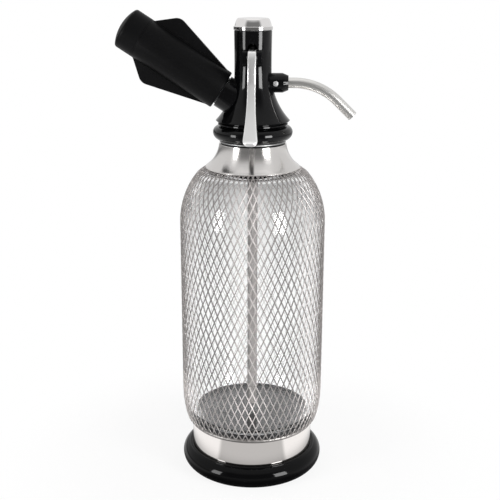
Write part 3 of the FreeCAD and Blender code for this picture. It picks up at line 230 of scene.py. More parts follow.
camera_data = bpy.data.cameras.new("camera")
camera_data.lens = CAMERA_LENS
camera_data.sensor_width = CAMERA_SENSOR
camera_data.clip_start = 0.05
camera = bpy.data.objects.new("camera", camera_data)
bpy.context.scene.collection.objects.link(camera)
turn = math.radians(CAMERA_TURN)
camera.location = (CAMERA_AWAY * math.sin(turn), -CAMERA_AWAY * math.cos(turn), CAMERA_HEIGHT)
camera.rotation_euler = (
    math.radians(90 - CAMERA_DOWN), math.radians(CAMERA_ROLL), turn + math.radians(CAMERA_ASIDE),
)
bpy.context.scene.camera = camera
bpy.context.scene.view_settings.view_transform = "Standard"


# ---------------------------------------------------------------- base ring
# The siphon stands on a moulded ring of gloss black plastic with a round outside, hollow behind.
# It is moulded in one shot and polished, and the base cup drops into it.

def arc(across, up, radius, start, end, steps):
    """Points on a circle: (across + radius cos a, up + radius sin a) for a from start to end degrees."""
    angle = np.radians(np.linspace(start, end, steps + 1))
    return np.column_stack((across + radius * np.cos(angle), up + radius * np.sin(angle)))


def rounded(corners, steps=4):
    """A run of corners (across, up, rounding), each replaced by a tangent arc of its rounding.

    The arc meets both sides at rounding / tan(half the inside angle) from the corner.
    """
    spots = np.array([corner[:2] for corner in corners], float)
    pieces = []
    for index, corner in enumerate(corners):
        here = spots[index]
        ends_run = index in (0, len(corners) - 1)
        if ends_run or corner[2] == 0:
            pieces.append(here[None])
            continue
        back = spots[index - 1] - here
        on = spots[index + 1] - here
        back /= np.linalg.norm(back)
        on /= np.linalg.norm(on)
        half = math.acos(np.clip(back @ on, -1, 1)) / 2
        middle = here + (back + on) / np.linalg.norm(back + on) * corner[2] / math.sin(half)
        first = here + back * corner[2] / math.tan(half) - middle
        last = here + on * corner[2] / math.tan(half) - middle
        turn_by = np.linspace(0, 1, steps + 1)[:, None]
        spread = math.pi / 2 - half
        swing = np.sin((1 - turn_by) * 2 * spread) * first + np.sin(turn_by * 2 * spread) * last
        pieces.append(middle + swing / math.sin(2 * spread))
    return np.vstack(pieces)


MM = 0.001


def closed_mesh(name, points, faces, smooth_angle):
    """A closed mesh object from points in metres, smooth up to an angle between its faces (degrees).

    It is turned right side out by its volume: the sum of p0 . (p1 x p2) over its triangles.
    """
    mesh = bpy.data.meshes.new(name)
    mesh.from_pydata(points.tolist(), [], faces)
    mesh.calc_loop_triangles()
    corners = np.empty(len(mesh.loop_triangles) * 3, np.int32)
    mesh.loop_triangles.foreach_get("vertices", corners)
    fan = points[corners.reshape(-1, 3)]
    if np.sum(fan[:, 0] * np.cross(fan[:, 1], fan[:, 2])) < 0:
        mesh.flip_normals()
    mesh.polygons.foreach_set("use_smooth", np.ones(len(mesh.polygons), bool))
    mesh.set_sharp_from_angle(angle=math.radians(smooth_angle))
    mesh.update()
    made = bpy.data.objects.new(name, mesh)
    bpy.context.scene.collection.objects.link(made)
    return made


def turned(name, outline, sides=192, bend=None, smooth_angle=30):
    """A solid of revolution: outline point (r, h) becomes (r cos t, r sin t, h) at each side's angle t.

    An outline that starts and ends on the axis is closed by its two poles, any other one runs round to its
    start. A bend takes the finished points and puts them elsewhere.
    """
    outline = np.asarray(outline, float) * MM
    poles = abs(outline[0, 0]) < 1e-9 and abs(outline[-1, 0]) < 1e-9
    ring = outline[1:-1] if poles else outline
    rows = len(ring)
    angle = np.arange(sides) * 2 * np.pi / sides
    points = np.empty((rows, sides, 3))
    points[..., 0] = ring[:, :1] * np.cos(angle)
    points[..., 1] = ring[:, :1] * np.sin(angle)
    points[..., 2] = ring[:, 1:]
    points = points.reshape(-1, 3)
    row = np.arange(rows - 1 if poles else rows)[:, None]
    side = np.arange(sides)[None]
    after_row = (row + 1) % rows
    after_side = (side + 1) % sides
    faces = np.stack((
        row * sides + side, row * sides + after_side,
        after_row * sides + after_side, after_row * sides + side,
    ), axis=-1).reshape(-1, 4).tolist()
    if poles:
        points = np.vstack((points, [[0, 0, outline[0, 1]], [0, 0, outline[-1, 1]]]))
        last_row = (rows - 1) * sides
        pole = np.full_like(side, rows * sides)
        faces += np.stack((pole, after_side, side), axis=-1)[0].tolist()
        faces += np.stack((pole + 1, last_row + side, last_row + after_side), axis=-1)[0].tolist()
    if bend is not None:
        points = bend(points)
    return closed_mesh(name, points, faces, smooth_angle)


def fit(piece, material, body, slot, *nodes):
    """Give a new piece its material and the body it rides on, and hide the nodes it stands for. The slot is
    not used.
    """
    piece.data.materials.append(material)
    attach(piece, body)
    if nodes:
        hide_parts(*nodes)


def value_group(name, inputs, outputs):
    """A shader node group with named number inputs (and their defaults) and named outputs."""
    group = bpy.data.node_groups.new(name, "ShaderNodeTree")
    for label, default in inputs.items():
        socket = group.interface.new_socket(label, in_out="INPUT", socket_type="NodeSocketFloat")
        socket.default_value = default
    for label, kind in outputs.items():
        group.interface.new_socket(label, in_out="OUTPUT", socket_type=kind)
    return group, group.nodes.new("NodeGroupInput"), group.nodes.new("NodeGroupOutput")


# handling: faint smears and dust on a gloss surface, as an uneven roughness:
# Roughness + gain * Smears * (noise - floor), wherever the noise is above the floor.
SMEAR_FLOOR, SMEAR_GAIN = 0.42, 3.0
handling, takes, gives = value_group(
    "handling", {"Roughness": 0.05, "Smears": 0.04, "Size": 40.0}, {"Roughness": "NodeSocketFloat"},
)
where = node_of(handling, "TexCoord")
smears = node_of(handling, "TexNoise", Detail=3.0, Roughness=0.55)
link(handling, where, "Object", smears, "Vector")
link(handling, takes, "Size", smears, "Scale")
lifted = math_node(handling, "SUBTRACT", smears.outputs["Fac"], SMEAR_FLOOR)
lifted = math_node(handling, "MAXIMUM", lifted, 0.0)
lifted = math_node(handling, "MULTIPLY", lifted, takes.outputs["Smears"])
lifted = math_node(handling, "MULTIPLY_ADD", lifted, SMEAR_GAIN, takes.outputs["Roughness"])
handling.links.new(lifted, gives.inputs["Roughness"])


def use_group(tree, group, **inputs):
    """Place a node group in a material, with its own values."""
    node = node_of(tree, "Group")
    node.node_tree = group
    for name, value in inputs.items():
        node.inputs[name].default_value = value
    return node


def surface(tree, out, colour, metallic=0.0, roughness=0.4, specular=0.5):
    """The material's Principled shader with its plain values, joined to the output."""
    shader = node_of(tree, "BsdfPrincipled", Metallic=metallic, Roughness=roughness,
                     Specular_IOR_Level=specular)
    shader.inputs["Base Color"].default_value = (*colour, 1)
    link(tree, shader, 0, out, "Surface")
    return shader


base_black, tree, out = new_material("base_black")
shader = surface(tree, out, (0.0012, 0.0012, 0.0014), specular=0.12)
smears = use_group(tree, handling, Roughness=0.06, Smears=0.05, Size=45.0)
link(tree, smears, "Roughness", shader, "Roughness")

# The ring's outside is parts of two ellipses that meet at its widest level, and a low lip by the band.
RING_RADIUS, RING_TUBE, RING_WALL, RING_LEVEL, RING_RISE, RING_HOLLOW = 41.6, 9.1, 2.8, 8.6, 8.1, 0.9
ring_foot = arc(RING_RADIUS, 0, RING_TUBE, -90, 0, 24) * (1, RING_LEVEL / RING_TUBE) + (0, RING_LEVEL)
ring_crest = arc(RING_RADIUS, 0, RING_TUBE, 0, 62, 36) * (1, RING_RISE / RING_TUBE) + (0, RING_LEVEL)
ring_inside = arc(RING_RADIUS, 0, RING_TUBE - RING_WALL, 80, -90, 32) * (1, RING_HOLLOW) + (0, RING_LEVEL)
ring_outline = np.vstack((
    rounded([(38.4, 2.8, 0), (37.6, 2.8, 0.3), (37.6, 0, 0.8), (RING_RADIUS, 0, 0)]),
    ring_foot[1:],
    ring_crest[1:],
    rounded([(45.86, 15.78, 0), (45.78, 16.3, 0.4), (44.2, 16.5, 0.4), (43.6, 16.1, 0.2), (43.6, 15.4, 0),
             (42.7, 15.4, 0)]),
    ring_inside,
))
fit(turned("base_ring_gloss", ring_outline), base_black, "bottle", "gloss_black", "base_ring")


# ---------------------------------------------------------------- base cup and cushion
# A black moulded cup sits in the ring. Its dished rim holds the bottle's heel and shows through the glass,
# and a rubber disc on its floor takes the bottle's weight.

# moulded_grain: the fine pebble of a spark-eroded mould, as a normal and a slightly uneven roughness:
# Roughness + clouding * (noise - 0.5).
CLOUDING = 0.18
moulded_grain, takes, gives = value_group(
    "moulded_grain", {"Roughness": 0.5, "Depth": 0.15, "Grain": 2600.0},
    {"Roughness": "NodeSocketFloat", "Normal": "NodeSocketVector"},
)
where = node_of(moulded_grain, "TexCoord")
pebble = node_of(moulded_grain, "TexNoise", Detail=2.0, Roughness=0.6)
cloud = node_of(moulded_grain, "TexNoise", Scale=70.0, Detail=3.0)
bump = node_of(moulded_grain, "Bump", Distance=0.00004)
link(moulded_grain, where, "Object", pebble, "Vector")
link(moulded_grain, where, "Object", cloud, "Vector")
link(moulded_grain, takes, "Grain", pebble, "Scale")
link(moulded_grain, takes, "Depth", bump, "Strength")
link(moulded_grain, pebble, "Fac", bump, "Height")
link(moulded_grain, bump, "Normal", gives, "Normal")
uneven = math_node(moulded_grain, "SUBTRACT", cloud.outputs["Fac"], 0.5)
uneven = math_node(moulded_grain, "MULTIPLY_ADD", uneven, CLOUDING, takes.outputs["Roughness"])
moulded_grain.links.new(uneven, gives.inputs["Roughness"])


def moulded(name, colour, roughness, depth, grain, specular=0.5):
    """A moulded plastic or rubber finish."""
    material, tree, out = new_material(name)
    shader = surface(tree, out, colour, specular=specular)
    skin = use_group(tree, moulded_grain, Roughness=roughness, Depth=depth, Grain=grain)
    link(tree, skin, "Roughness", shader, "Roughness")
    link(tree, skin, "Normal", shader, "Normal")
    return material


black_moulding = moulded("black_moulding", (0.012, 0.012, 0.013), 0.42, 0.2, 1800.0)
rubber = moulded("rubber", (0.018, 0.018, 0.018), 0.62, 0.35, 1400.0)


WELD_REACH, FLAT_WITHIN, CREASE = 1e-6, math.radians(1), math.radians(32)


def dress(node, material, rounding=0):
    """A node whose shape is right keeps it: its loose triangles are welded, shaded smooth and painted.

    A rounding (millimetres) first joins its flat triangles to whole faces and then softens its sharp edges.
    """
    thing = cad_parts[node]
    thing.data.polygons.foreach_set("use_smooth", np.ones(len(thing.data.polygons), bool))
    weld = thing.modifiers.new("weld", "WELD")
    weld.merge_threshold = WELD_REACH
    if rounding:
        flat = thing.modifiers.new("flat", "DECIMATE")
        flat.decimate_type = "DISSOLVE"
        flat.angle_limit = FLAT_WITHIN
        soft = thing.modifiers.new("soft", "BEVEL")
        soft.width = rounding * MM
        soft.segments = 3
        soft.limit_method = "ANGLE"
        soft.angle_limit = CREASE
        soft.use_clamp_overlap = True
    split = thing.modifiers.new("crease", "EDGE_SPLIT")
    split.split_angle = CREASE
    thing.data.materials.clear()
    thing.data.materials.append(material)


# The rim's dish lies round the same centre as the bottle's heel.
HEEL_CENTRE_R, HEEL_CENTRE_Z, DISH_RADIUS = 37.1, 45.77, 8.25
cup_outline = np.vstack((
    rounded([(0, 32.0, 0), (40.2, 32.0, 1.0), (40.2, 2.9, 0.3), (42.6, 2.9, 0.3), (42.6, 37.75, 0),
             (44.1, 37.75, 0.3), (44.5, 38.3, 0.3), (44.5, 40.6, 0.35), (43.55, 40.6, 0)]),
    arc(HEEL_CENTRE_R, HEEL_CENTRE_Z, DISH_RADIUS, -38.9, -88, 16),
    rounded([(36.9, 37.53, 0), (31.0, 37.53, 0.4), (31.0, 35.0, 0.4), (0, 35.0, 0)])[1:],
))
fit(turned("base_cup_moulding", cup_outline), black_moulding, "bottle", "black_moulding", "base_cup")
cushion_outline = rounded([(0, 35.0, 0), (30.0, 35.0, 0.4), (30.0, 37.7, 0.8), (0, 37.7, 0)])
fit(turned("bottle_cushion_rubber", cushion_outline), rubber, "bottle", "rubber", "bottle_cushion")


# ---------------------------------------------------------------- base band
# A band of polished stainless sheet is rolled round the cup, and its top is curled into a bead over the ends
# of the mesh. The bead is duller than the band, and its colour is painted darker: painted shade.

# turning_lines: the fine rings that spinning or polishing leaves round the axis, as a normal and a roughness:
# Roughness * (rings + cloud).
turning_lines, takes, gives = value_group(
    "turning_lines", {"Roughness": 0.1, "Depth": 0.1, "Pitch": 900.0},
    {"Roughness": "NodeSocketFloat", "Normal": "NodeSocketVector"},
)
where = node_of(turning_lines, "TexCoord")
stretch = node_of(turning_lines, "Mapping")
stretch.inputs["Scale"].default_value = (0.02, 0.02, 1.0)
rings = node_of(turning_lines, "TexNoise", Detail=4.0, Roughness=0.65)
cloud = node_of(turning_lines, "TexNoise", Scale=45.0, Detail=2.0)
bump = node_of(turning_lines, "Bump", Distance=0.00002)
link(turning_lines, where, "Object", stretch, "Vector")
link(turning_lines, where, "Object", cloud, "Vector")
link(turning_lines, stretch, "Vector", rings, "Vector")
link(turning_lines, takes, "Pitch", rings, "Scale")
link(turning_lines, takes, "Depth", bump, "Strength")
link(turning_lines, rings, "Fac", bump, "Height")
link(turning_lines, bump, "Normal", gives, "Normal")
uneven = math_node(turning_lines, "ADD", rings.outputs["Fac"], cloud.outputs["Fac"])
uneven = math_node(turning_lines, "MULTIPLY", uneven, takes.outputs["Roughness"])
turning_lines.links.new(uneven, gives.inputs["Roughness"])


def spun_metal(name, colour, roughness, depth, pitch):
    """A metal that was spun, turned or polished round its axis."""
    material, tree, out = new_material(name)
    shader = surface(tree, out, colour, metallic=1.0)
    skin = use_group(tree, turning_lines, Roughness=roughness, Depth=depth, Pitch=pitch)
    link(tree, skin, "Roughness", shader, "Roughness")
    link(tree, skin, "Normal", shader, "Normal")
    return material


def height_in(tree):
    """The height (metres) of a shaded place on its object, as a socket."""
    where = node_of(tree, "TexCoord")
    parted = node_of(tree, "SeparateXYZ")
    link(tree, where, "Object", parted, "Vector")
    return parted.outputs["Z"]


def tinted(tree, level, tint):
    """A level (a socket) as a colour of a tint."""
    scaled = node_of(tree, "VectorMath")
    scaled.operation = "SCALE"
    scaled.inputs[0].default_value = tint
    tree.links.new(level, scaled.inputs["Scale"])
    return scaled.outputs["Vector"]


# Where a finish or a painted shade changes on its piece, it changes between two heights in metres.
BEAD_FOOT = (0.0343, 0.0346)
polished_steel = spun_metal("polished_steel", (0.92, 0.905, 0.89), 0.08, 0.05, 900.0)
tree = polished_steel.node_tree
shader = tree.nodes["Principled BSDF"]
height = height_in(tree)
band_roughness = ramp(tree, height, BEAD_FOOT, tree.nodes["Group"].outputs["Roughness"], 0.5)
# Painted shade: the bead's colour is darker than the band's.
band_with_painted_bead_shade = ramp(tree, height, BEAD_FOOT, 0.91, 0.30)
tree.links.new(band_roughness, shader.inputs["Roughness"])
tree.links.new(tinted(tree, band_with_painted_bead_shade, (1.0, 0.955, 0.925)), shader.inputs["Base Color"])

BAND_RADIUS, BEAD_RADIUS, BEAD_TUBE = 43.4, 45.3, 1.5
band_outline = np.vstack((
    rounded([(42.8, 34.0, 0), (42.8, 15.6, 0), (BAND_RADIUS, 15.6, 0), (BAND_RADIUS, 34.35, 0.2),
             (43.8, 34.7, 0)]),
    arc(BEAD_RADIUS - BEAD_TUBE, 36.2, BEAD_TUBE, -88, 90, 24),
    rounded([(43.2, 37.4, 0), (43.0, 36.8, 0.2), (42.8, 34.6, 0)]),
))
fit(turned("base_band_polished", band_outline, 256), polished_steel, "bottle", "polished_steel", "base_band")


# ---------------------------------------------------------------- glass bottle
# A thick bottle of clear blown glass: tapered heel, straight side, round shoulder and a plain neck.
# Its heel rests in the cup on the rubber disc, and the lamps shine through it on what stands inside.

clear_glass, tree, out = new_material("clear_glass")
shader = surface(tree, out, (1.0, 1.0, 1.0), roughness=0.0, specular=0.1)
shader.inputs["IOR"].default_value = 1.33
shader.inputs["Transmission Weight"].default_value = 1.0
seen = node_of(tree, "LightPath").outputs
light_by = mixed(tree, seen["Is Shadow Ray"], shader, node_of(tree, "BsdfTransparent"))
link(tree, light_by, 0, out, "Surface")

# The mesh's outside goes up a straight body and over a big and a small tangent arc to a flat crown. The glass
# lies a sleeve's depth inside it, and its heel is a small arc that a wide sweep carries into the side.
BODY, BIG, SMALL, CROWN, SLEEVE_DEPTH = 50.3, 53.0, 17.0, 26.0, 2.5
HEEL_ROUND, HEEL_JOIN, HEEL_TOP, SWEEP, SHOULDER_BASE = 8.0, 43.0, 60.9, 51.66, 184.0
WALL, NECK, FILLET, LIP, RIM, RIM_ROUND = 3.6, 14.6, 7.4, 240.0, 246.5, 1.4
JOIN = math.degrees(math.acos((CROWN - BODY + BIG) / (BIG - SMALL)))
SMALL_Z = SHOULDER_BASE + (BIG - SMALL) * math.sin(math.radians(JOIN))
glass_side, glass_floor = BODY - SLEEVE_DEPTH, HEEL_CENTRE_Z - HEEL_ROUND
big_glass, small_glass = BIG - SLEEVE_DEPTH, SMALL - SLEEVE_DEPTH
fillet_z = SMALL_Z + small_glass + FILLET
heel_lean = math.degrees(math.asin((HEEL_TOP - HEEL_JOIN) / SWEEP))
outer_glass = np.vstack((
    [(0, glass_floor)],
    arc(HEEL_CENTRE_R, HEEL_CENTRE_Z, HEEL_ROUND, -90, -heel_lean, 16),
    arc(glass_side - SWEEP, HEEL_TOP, SWEEP, -heel_lean, 0, 16)[1:],
    arc(BODY - BIG, SHOULDER_BASE, big_glass, 0, JOIN, 24),
    arc(CROWN, SMALL_Z, small_glass, JOIN, 90, 20)[1:],
    arc(NECK + FILLET, fillet_z, FILLET, 270, 180, 14),
))
inner_glass = np.vstack((
    arc(NECK + FILLET, fillet_z, FILLET + WALL, 180, 270, 14),
    arc(CROWN, SMALL_Z, small_glass - WALL, 90, JOIN, 20),
    arc(BODY - BIG, SHOULDER_BASE, big_glass - WALL, JOIN, 0, 24)[1:],
    arc(glass_side - SWEEP, HEEL_TOP, SWEEP - WALL, 0, -heel_lean, 16),
    arc(HEEL_CENTRE_R, HEEL_CENTRE_Z, HEEL_ROUND - WALL, -heel_lean, -90, 16)[1:],
    [(0, glass_floor + WALL)],
))
rim = rounded([(NECK, LIP, 0), (NECK, RIM, RIM_ROUND),
               (NECK - WALL, RIM, RIM_ROUND), (NECK - WALL, LIP, 0)], 6)
bottle = turned("glass_bottle_clear", np.vstack((outer_glass, rim, inner_glass)), 192, smooth_angle=60)
fit(bottle, clear_glass, "bottle", "clear_glass", "glass_bottle")


# ---------------------------------------------------------------- mesh sleeve
# Bright steel wires go up and round the bottle both ways and cross in tall diamonds, woven over and under.
# The sleeve is drawn over the glass, and its ends are trapped by the band's bead and the collar.

WIRES = 64
WIRE_RADIUS, WEAVE = 0.38, 0.08
MESH_PERIOD, STEPS_EACH_MESH, WIRE_SIDES = 10.8, 6, 6
SLEEVE_FOOT, HEEL_IN, HEEL_DEEP = 37.3, 9.2, 30.0


def sleeve_profile():
    """The way along the sleeve from bead to crown, its radius and height there, and its outward normal.

    Heel: part of an ellipse (HEEL_IN wide, HEEL_DEEP deep); side: straight; shoulder: two tangent arcs.
    """
    heel = np.linspace(math.asin((HEEL_TOP - SLEEVE_FOOT) / HEEL_DEEP), 0, 60)
    dense = np.vstack((
        np.column_stack((BODY - HEEL_IN * (1 - np.cos(heel)), HEEL_TOP - HEEL_DEEP * np.sin(heel))),
        np.column_stack((np.full(200, BODY), np.linspace(HEEL_TOP, SHOULDER_BASE, 202)[1:-1])),
        arc(BODY - BIG, SHOULDER_BASE, BIG, 0, JOIN, 80),
        arc(CROWN, SMALL_Z, SMALL, JOIN, 90, 60)[1:],
    ))
    way = np.concatenate(([0], np.cumsum(np.linalg.norm(np.diff(dense, axis=0), axis=1))))
    even = np.linspace(0, way[-1], int(way[-1] / MESH_PERIOD * STEPS_EACH_MESH))
    radius = np.interp(even, way, dense[:, 0])
    height = np.interp(even, way, dense[:, 1])
    slope_r = np.gradient(radius, even)
    slope_z = np.gradient(height, even)
    return even, radius, height, slope_z, -slope_r


def woven_wires(name):
    """All wires of the sleeve as one mesh of closed tubes.

    Wire k of a hand starts at angle 2 pi k / count and turns by one mesh for each period of its way s.
    Its depth swings as cos(2 pi s / period), opposite for the two hands, so that each passes over and under.
    """
    way, radius, height, out_r, out_z = sleeve_profile()
    middle = WIRE_RADIUS + WEAVE
    angle = np.arange(WIRE_SIDES) * 2 * np.pi / WIRE_SIDES
    hands = []
    for hand in (1, -1):
        depth = -middle + hand * WEAVE * np.cos(2 * np.pi * way / MESH_PERIOD)
        start = np.arange(WIRES)[:, None] * 2 * np.pi / WIRES
        bearing = start + hand * 2 * np.pi / WIRES * way[None] / MESH_PERIOD
        reach = (radius + out_r * depth)[None]
        outward = np.stack((
            out_r * np.cos(bearing), out_r * np.sin(bearing), np.broadcast_to(out_z, bearing.shape),
        ), axis=-1)
        line = np.stack((
            reach * np.cos(bearing), reach * np.sin(bearing),
            np.broadcast_to(height + out_z * depth, bearing.shape),
        ), axis=-1)
        along = np.gradient(line, axis=1)
        along /= np.linalg.norm(along, axis=-1, keepdims=True)
        aside = np.cross(along, outward)
        aside /= np.linalg.norm(aside, axis=-1, keepdims=True)
        outward = np.cross(aside, along)
        rim = line[:, :, None] + WIRE_RADIUS * (
            np.cos(angle)[:, None] * outward[:, :, None] + np.sin(angle)[:, None] * aside[:, :, None]
        )
        hands.append(rim)
    grid = np.concatenate(hands)
    wires, steps = grid.shape[:2]
    wire = np.arange(wires)[:, None, None] * steps * WIRE_SIDES
    ring = wire + np.arange(steps - 1)[None, :, None] * WIRE_SIDES
    next_ring = ring + WIRE_SIDES
    side = np.arange(WIRE_SIDES)[None, None]
    after = (side + 1) % WIRE_SIDES
    tubes = np.stack((ring + side, ring + after, next_ring + after, next_ring + side), axis=-1).reshape(-1, 4)
    starts = (wire + side)[:, 0]
    stops = starts + (steps - 1) * WIRE_SIDES
    faces = tubes.tolist() + starts[:, ::-1].tolist() + stops.tolist()
    return closed_mesh(name, grid.reshape(-1, 3) * MM, faces, smooth_angle=50)


# The wires' colour is painted light and shade: palest at the heel, where the pale table lights them,
# lighter again at the shoulder and darkest at the side. Through the glass they are mostly washed out.
HEEL_BAND, SHOULDER_BAND, WASHED_OUT = (0.064, 0.082), (0.170, 0.215), 0.85
mesh_wire, tree, out = new_material("mesh_wire")
shader = surface(tree, out, (0.27, 0.27, 0.27), metallic=1.0)
smears = use_group(tree, handling, Roughness=0.5, Smears=0.10, Size=120.0)
link(tree, smears, "Roughness", shader, "Roughness")
height = height_in(tree)
wire_painted_light = ramp(tree, height, SHOULDER_BAND, ramp(tree, height, HEEL_BAND, 0.46, 0.28), 0.38)
tree.links.new(tinted(tree, wire_painted_light, (1.0, 0.945, 0.925)), shader.inputs["Base Color"])
seen = node_of(tree, "LightPath").outputs
behind_glass = math_node(tree, "MULTIPLY", seen["Is Transmission Ray"], WASHED_OUT)
link(tree, mixed(tree, behind_glass, shader, node_of(tree, "BsdfTransparent")), 0, out, "Surface")
fit(woven_wires("mesh_sleeve_woven"), mesh_wire, "bottle", "mesh_wire", "mesh_sleeve")


# ---------------------------------------------------------------- neck ring, collar and trim
# A threaded ring is cemented on the neck. It carries a cone collar of spun, brushed steel, whose foot closes
# on the wires at the shoulder, and a turned steel ring on top of the collar.

dress("neck_ring", black_moulding)
satin_steel = spun_metal("satin_steel", (0.68, 0.66, 0.645), 0.20, 0.05, 1500.0)
tree = satin_steel.node_tree
# Its brushing runs round the axis, so that a lamp's image is drawn out up and down.
round_axis = node_of(tree, "Tangent")
round_axis.direction_type = "RADIAL"
round_axis.axis = "Z"
shader = tree.nodes["Principled BSDF"]
shader.inputs["Anisotropic"].default_value = 0.9
shader.inputs["Anisotropic Rotation"].default_value = 0.25
link(tree, round_axis, "Tangent", shader, "Tangent")

COLLAR_SWEEP, COLLAR_WALL, COLLAR_R, COLLAR_Z = 21.3, 0.8, 44.063, 240.123
collar_outline = np.vstack((
    rounded([(19.4, 237.8, 0), (19.4, 237.4, 0.1), (22.1, 237.4, 0)]),
    arc(COLLAR_R, COLLAR_Z, COLLAR_SWEEP + COLLAR_WALL, 187.08, 234.6, 32),
    rounded([(31.4, 221.95, 0), (31.5, 221.7, 0.1), (32.35, 221.55, 0.15), (32.4, 221.95, 0)]),
    arc(COLLAR_R, COLLAR_Z, COLLAR_SWEEP, 235.6, 185.5, 40),
    rounded([(22.8, 238.2, 0), (19.4, 238.2, 0.1), (19.4, 237.9, 0)]),
))
fit(turned("collar_spun", collar_outline, 256), satin_steel, "bottle", "satin_steel", "collar")
trim_outline = np.vstack((
    rounded([(19.4, 239.4, 0), (19.4, 238.2, 0.15), (21.4, 238.2, 0.1), (21.4, 238.9, 0.1),
             (21.7, 238.9, 0)]),
    arc(21.75, 239.65, 0.75, -90, 90, 16),
    rounded([(21.7, 240.4, 0), (19.4, 240.4, 0.2), (19.4, 239.5, 0)]),
))
# Under the ring's round edge lies a groove, and its colour is painted nearly black below the groove's top:
# painted shade.
GROOVE_TOP = (0.2391, 0.2392)
trim_steel = spun_metal("trim_steel", (0.30, 0.29, 0.28), 0.4, 0.05, 900.0)
tree = trim_steel.node_tree
groove_painted_shade = ramp(tree, height_in(tree), GROOVE_TOP, 0.01, 0.30)
tree.links.new(groove_painted_shade, tree.nodes["Principled BSDF"].inputs["Base Color"])
fit(turned("neck_trim_bright", trim_outline), trim_steel, "bottle", "polished_steel", "neck_trim")


# ---------------------------------------------------------------- head
# One gloss black moulding has the tower, the bell, the threaded skirt, the two bosses and the ears that hold
# the lever's pin. It screws on the neck ring over a rubber ring. A round grip ring goes on its skirt, and a
# chromed cap with a gasket under its flange closes the tower.

gloss_black, tree, out = new_material("gloss_black")
shader = surface(tree, out, (0.0015, 0.0015, 0.0018), specular=0.2)
smears = use_group(tree, handling, Roughness=0.06, Smears=0.05, Size=55.0)
link(tree, smears, "Roughness", shader, "Roughness")
dress("head_gasket", rubber)
dress("head_body", gloss_black, rounding=0.35)

grip_outline = np.vstack((
    rounded([(21.65, 244.0, 0), (21.65, 240.65, 0.1), (22.05, 240.62, 0)]),
    arc(21.6, 246.0, 5.4, -84, 0, 32),
    arc(23.0, 246.0, 4.0, 0, 90, 24)[1:],
    rounded([(22.9, 250.0, 0), (21.65, 250.0, 0.4), (21.65, 244.2, 0)]),
))
fit(turned("head_ring_gloss", grip_outline), gloss_black, "head", "gloss_black", "head_ring")
dress("cap_gasket", rubber)

# The cap's flange is painted darker than the button above it: painted shade.
FLANGE_TOP = (0.3152, 0.3155)
chrome, tree, out = new_material("chrome")
shader = surface(tree, out, (0.86, 0.86, 0.87), metallic=1.0)
smears = use_group(tree, handling, Roughness=0.035, Smears=0.05, Size=80.0)
link(tree, smears, "Roughness", shader, "Roughness")
flange_painted_shade = ramp(tree, height_in(tree), FLANGE_TOP, 0.55, 0.84)
tree.links.new(tinted(tree, flange_painted_shade, (1.0, 0.98, 0.97)), shader.inputs["Base Color"])

# Tangent arcs carry the cap's button from its foot over the shoulder to the crown.
button_side = arc(-3.45, 312.82, 16.0, 11, 26, 12)
button_shoulder = arc(9.4, 319.09, 1.7, 26, 85, 12)
button_crown = arc(0, 211.68, 109.52, 85, 90, 12)
cap_outline = np.vstack((
    rounded([(0, 317.3, 0), (5.9, 317.3, 0.5), (5.9, 306.3, 0.2), (9.1, 306.3, 0.4), (9.1, 313.3, 0.2),
             (12.8, 313.3, 0.1), (13.0, 313.5, 0.1), (13.0, 315.3, 0.1), (12.9, 315.4, 0.1),
             (12.4, 315.4, 0.1), (12.3, 315.8, 0)], 6),
    button_side, button_shoulder[1:], button_crown[1:],
))
fit(turned("top_cap_chrome", cap_outline, 160), chrome, "head", "chrome", "top_cap")


# ---------------------------------------------------------------- valve
# Inside the tower a coil spring holds a steel spindle down, with its rubber washer on a brass seat. It slides
# in a brass bush with a rubber ring, and the lever's fork lifts it by its round nut.

brass = spun_metal("brass", (0.70, 0.52, 0.22), 0.2, 0.1, 1200.0)
plain_steel = spun_metal("plain_steel", (0.56, 0.56, 0.57), 0.22, 0.1, 1200.0)
dark_steel = spun_metal("dark_steel", (0.05, 0.05, 0.052), 0.35, 0.1, 1200.0)
dress("stem_bush", brass)
dress("valve_seat", brass)
dress("valve_spindle", plain_steel)
dress("valve_spring", plain_steel)
dress("spindle_nut", dark_steel)
dress("stem_seal", rubber)
dress("valve_washer", rubber)


# ---------------------------------------------------------------- lever
# A casting in satin chrome that turns on a steel pin when it is pressed towards the tower. Its arm lies in
# the tower's slot and ends in a fork, and its strap flares out and widens down to a curled end.

dress("lever_pin", plain_steel)
satin_chrome, tree, out = new_material("satin_chrome")
shader = surface(tree, out, (0.88, 0.875, 0.87), metallic=1.0)
skin = use_group(tree, moulded_grain, Roughness=0.36, Depth=0.06, Grain=700.0)
link(tree, skin, "Roughness", shader, "Roughness")
link(tree, skin, "Normal", shader, "Normal")
LEVER_START, LEVER_TOP, LEVER_HALF, CORNER_POINTS = -3.6, 300.9, 2.75, 6
FLANK_TOP, FLANK_RADIUS, TIP_ROUND = 276.0, 215.0, 3.2
ARM_THICK, STRAP_THICK = 3.8, 2.2
# How far each station lies along the front line, and how much the line leans there (degrees).
lever_way = np.cumsum([0, 12.0, 3.14, 3.9, 5.3, 4.6, 3.0, 4.1, 7.1, 10.2, 10.2, 9.9, 2.67])
lever_lean = (90, 90, 30, 22, 18, 3, 3, 22, 25.5, 28.5, 30.5, 31, 65)


def swept_line(start, way, lean, stations):
    """A line (y, z) that starts at a point and steps along (-sin lean, -cos lean).

    The lean (degrees) is given at each way along the line, and changes evenly from one to the next.
    """
    even = np.linspace(0, way[-1], stations)
    angle = np.radians(np.interp(even, way, lean))
    middle = (angle[1:] + angle[:-1]) / 2
    step = np.column_stack((-np.sin(middle), -np.cos(middle))) * np.diff(even)[:, None]
    return even, angle, np.vstack((start, start + np.cumsum(step, axis=0)))


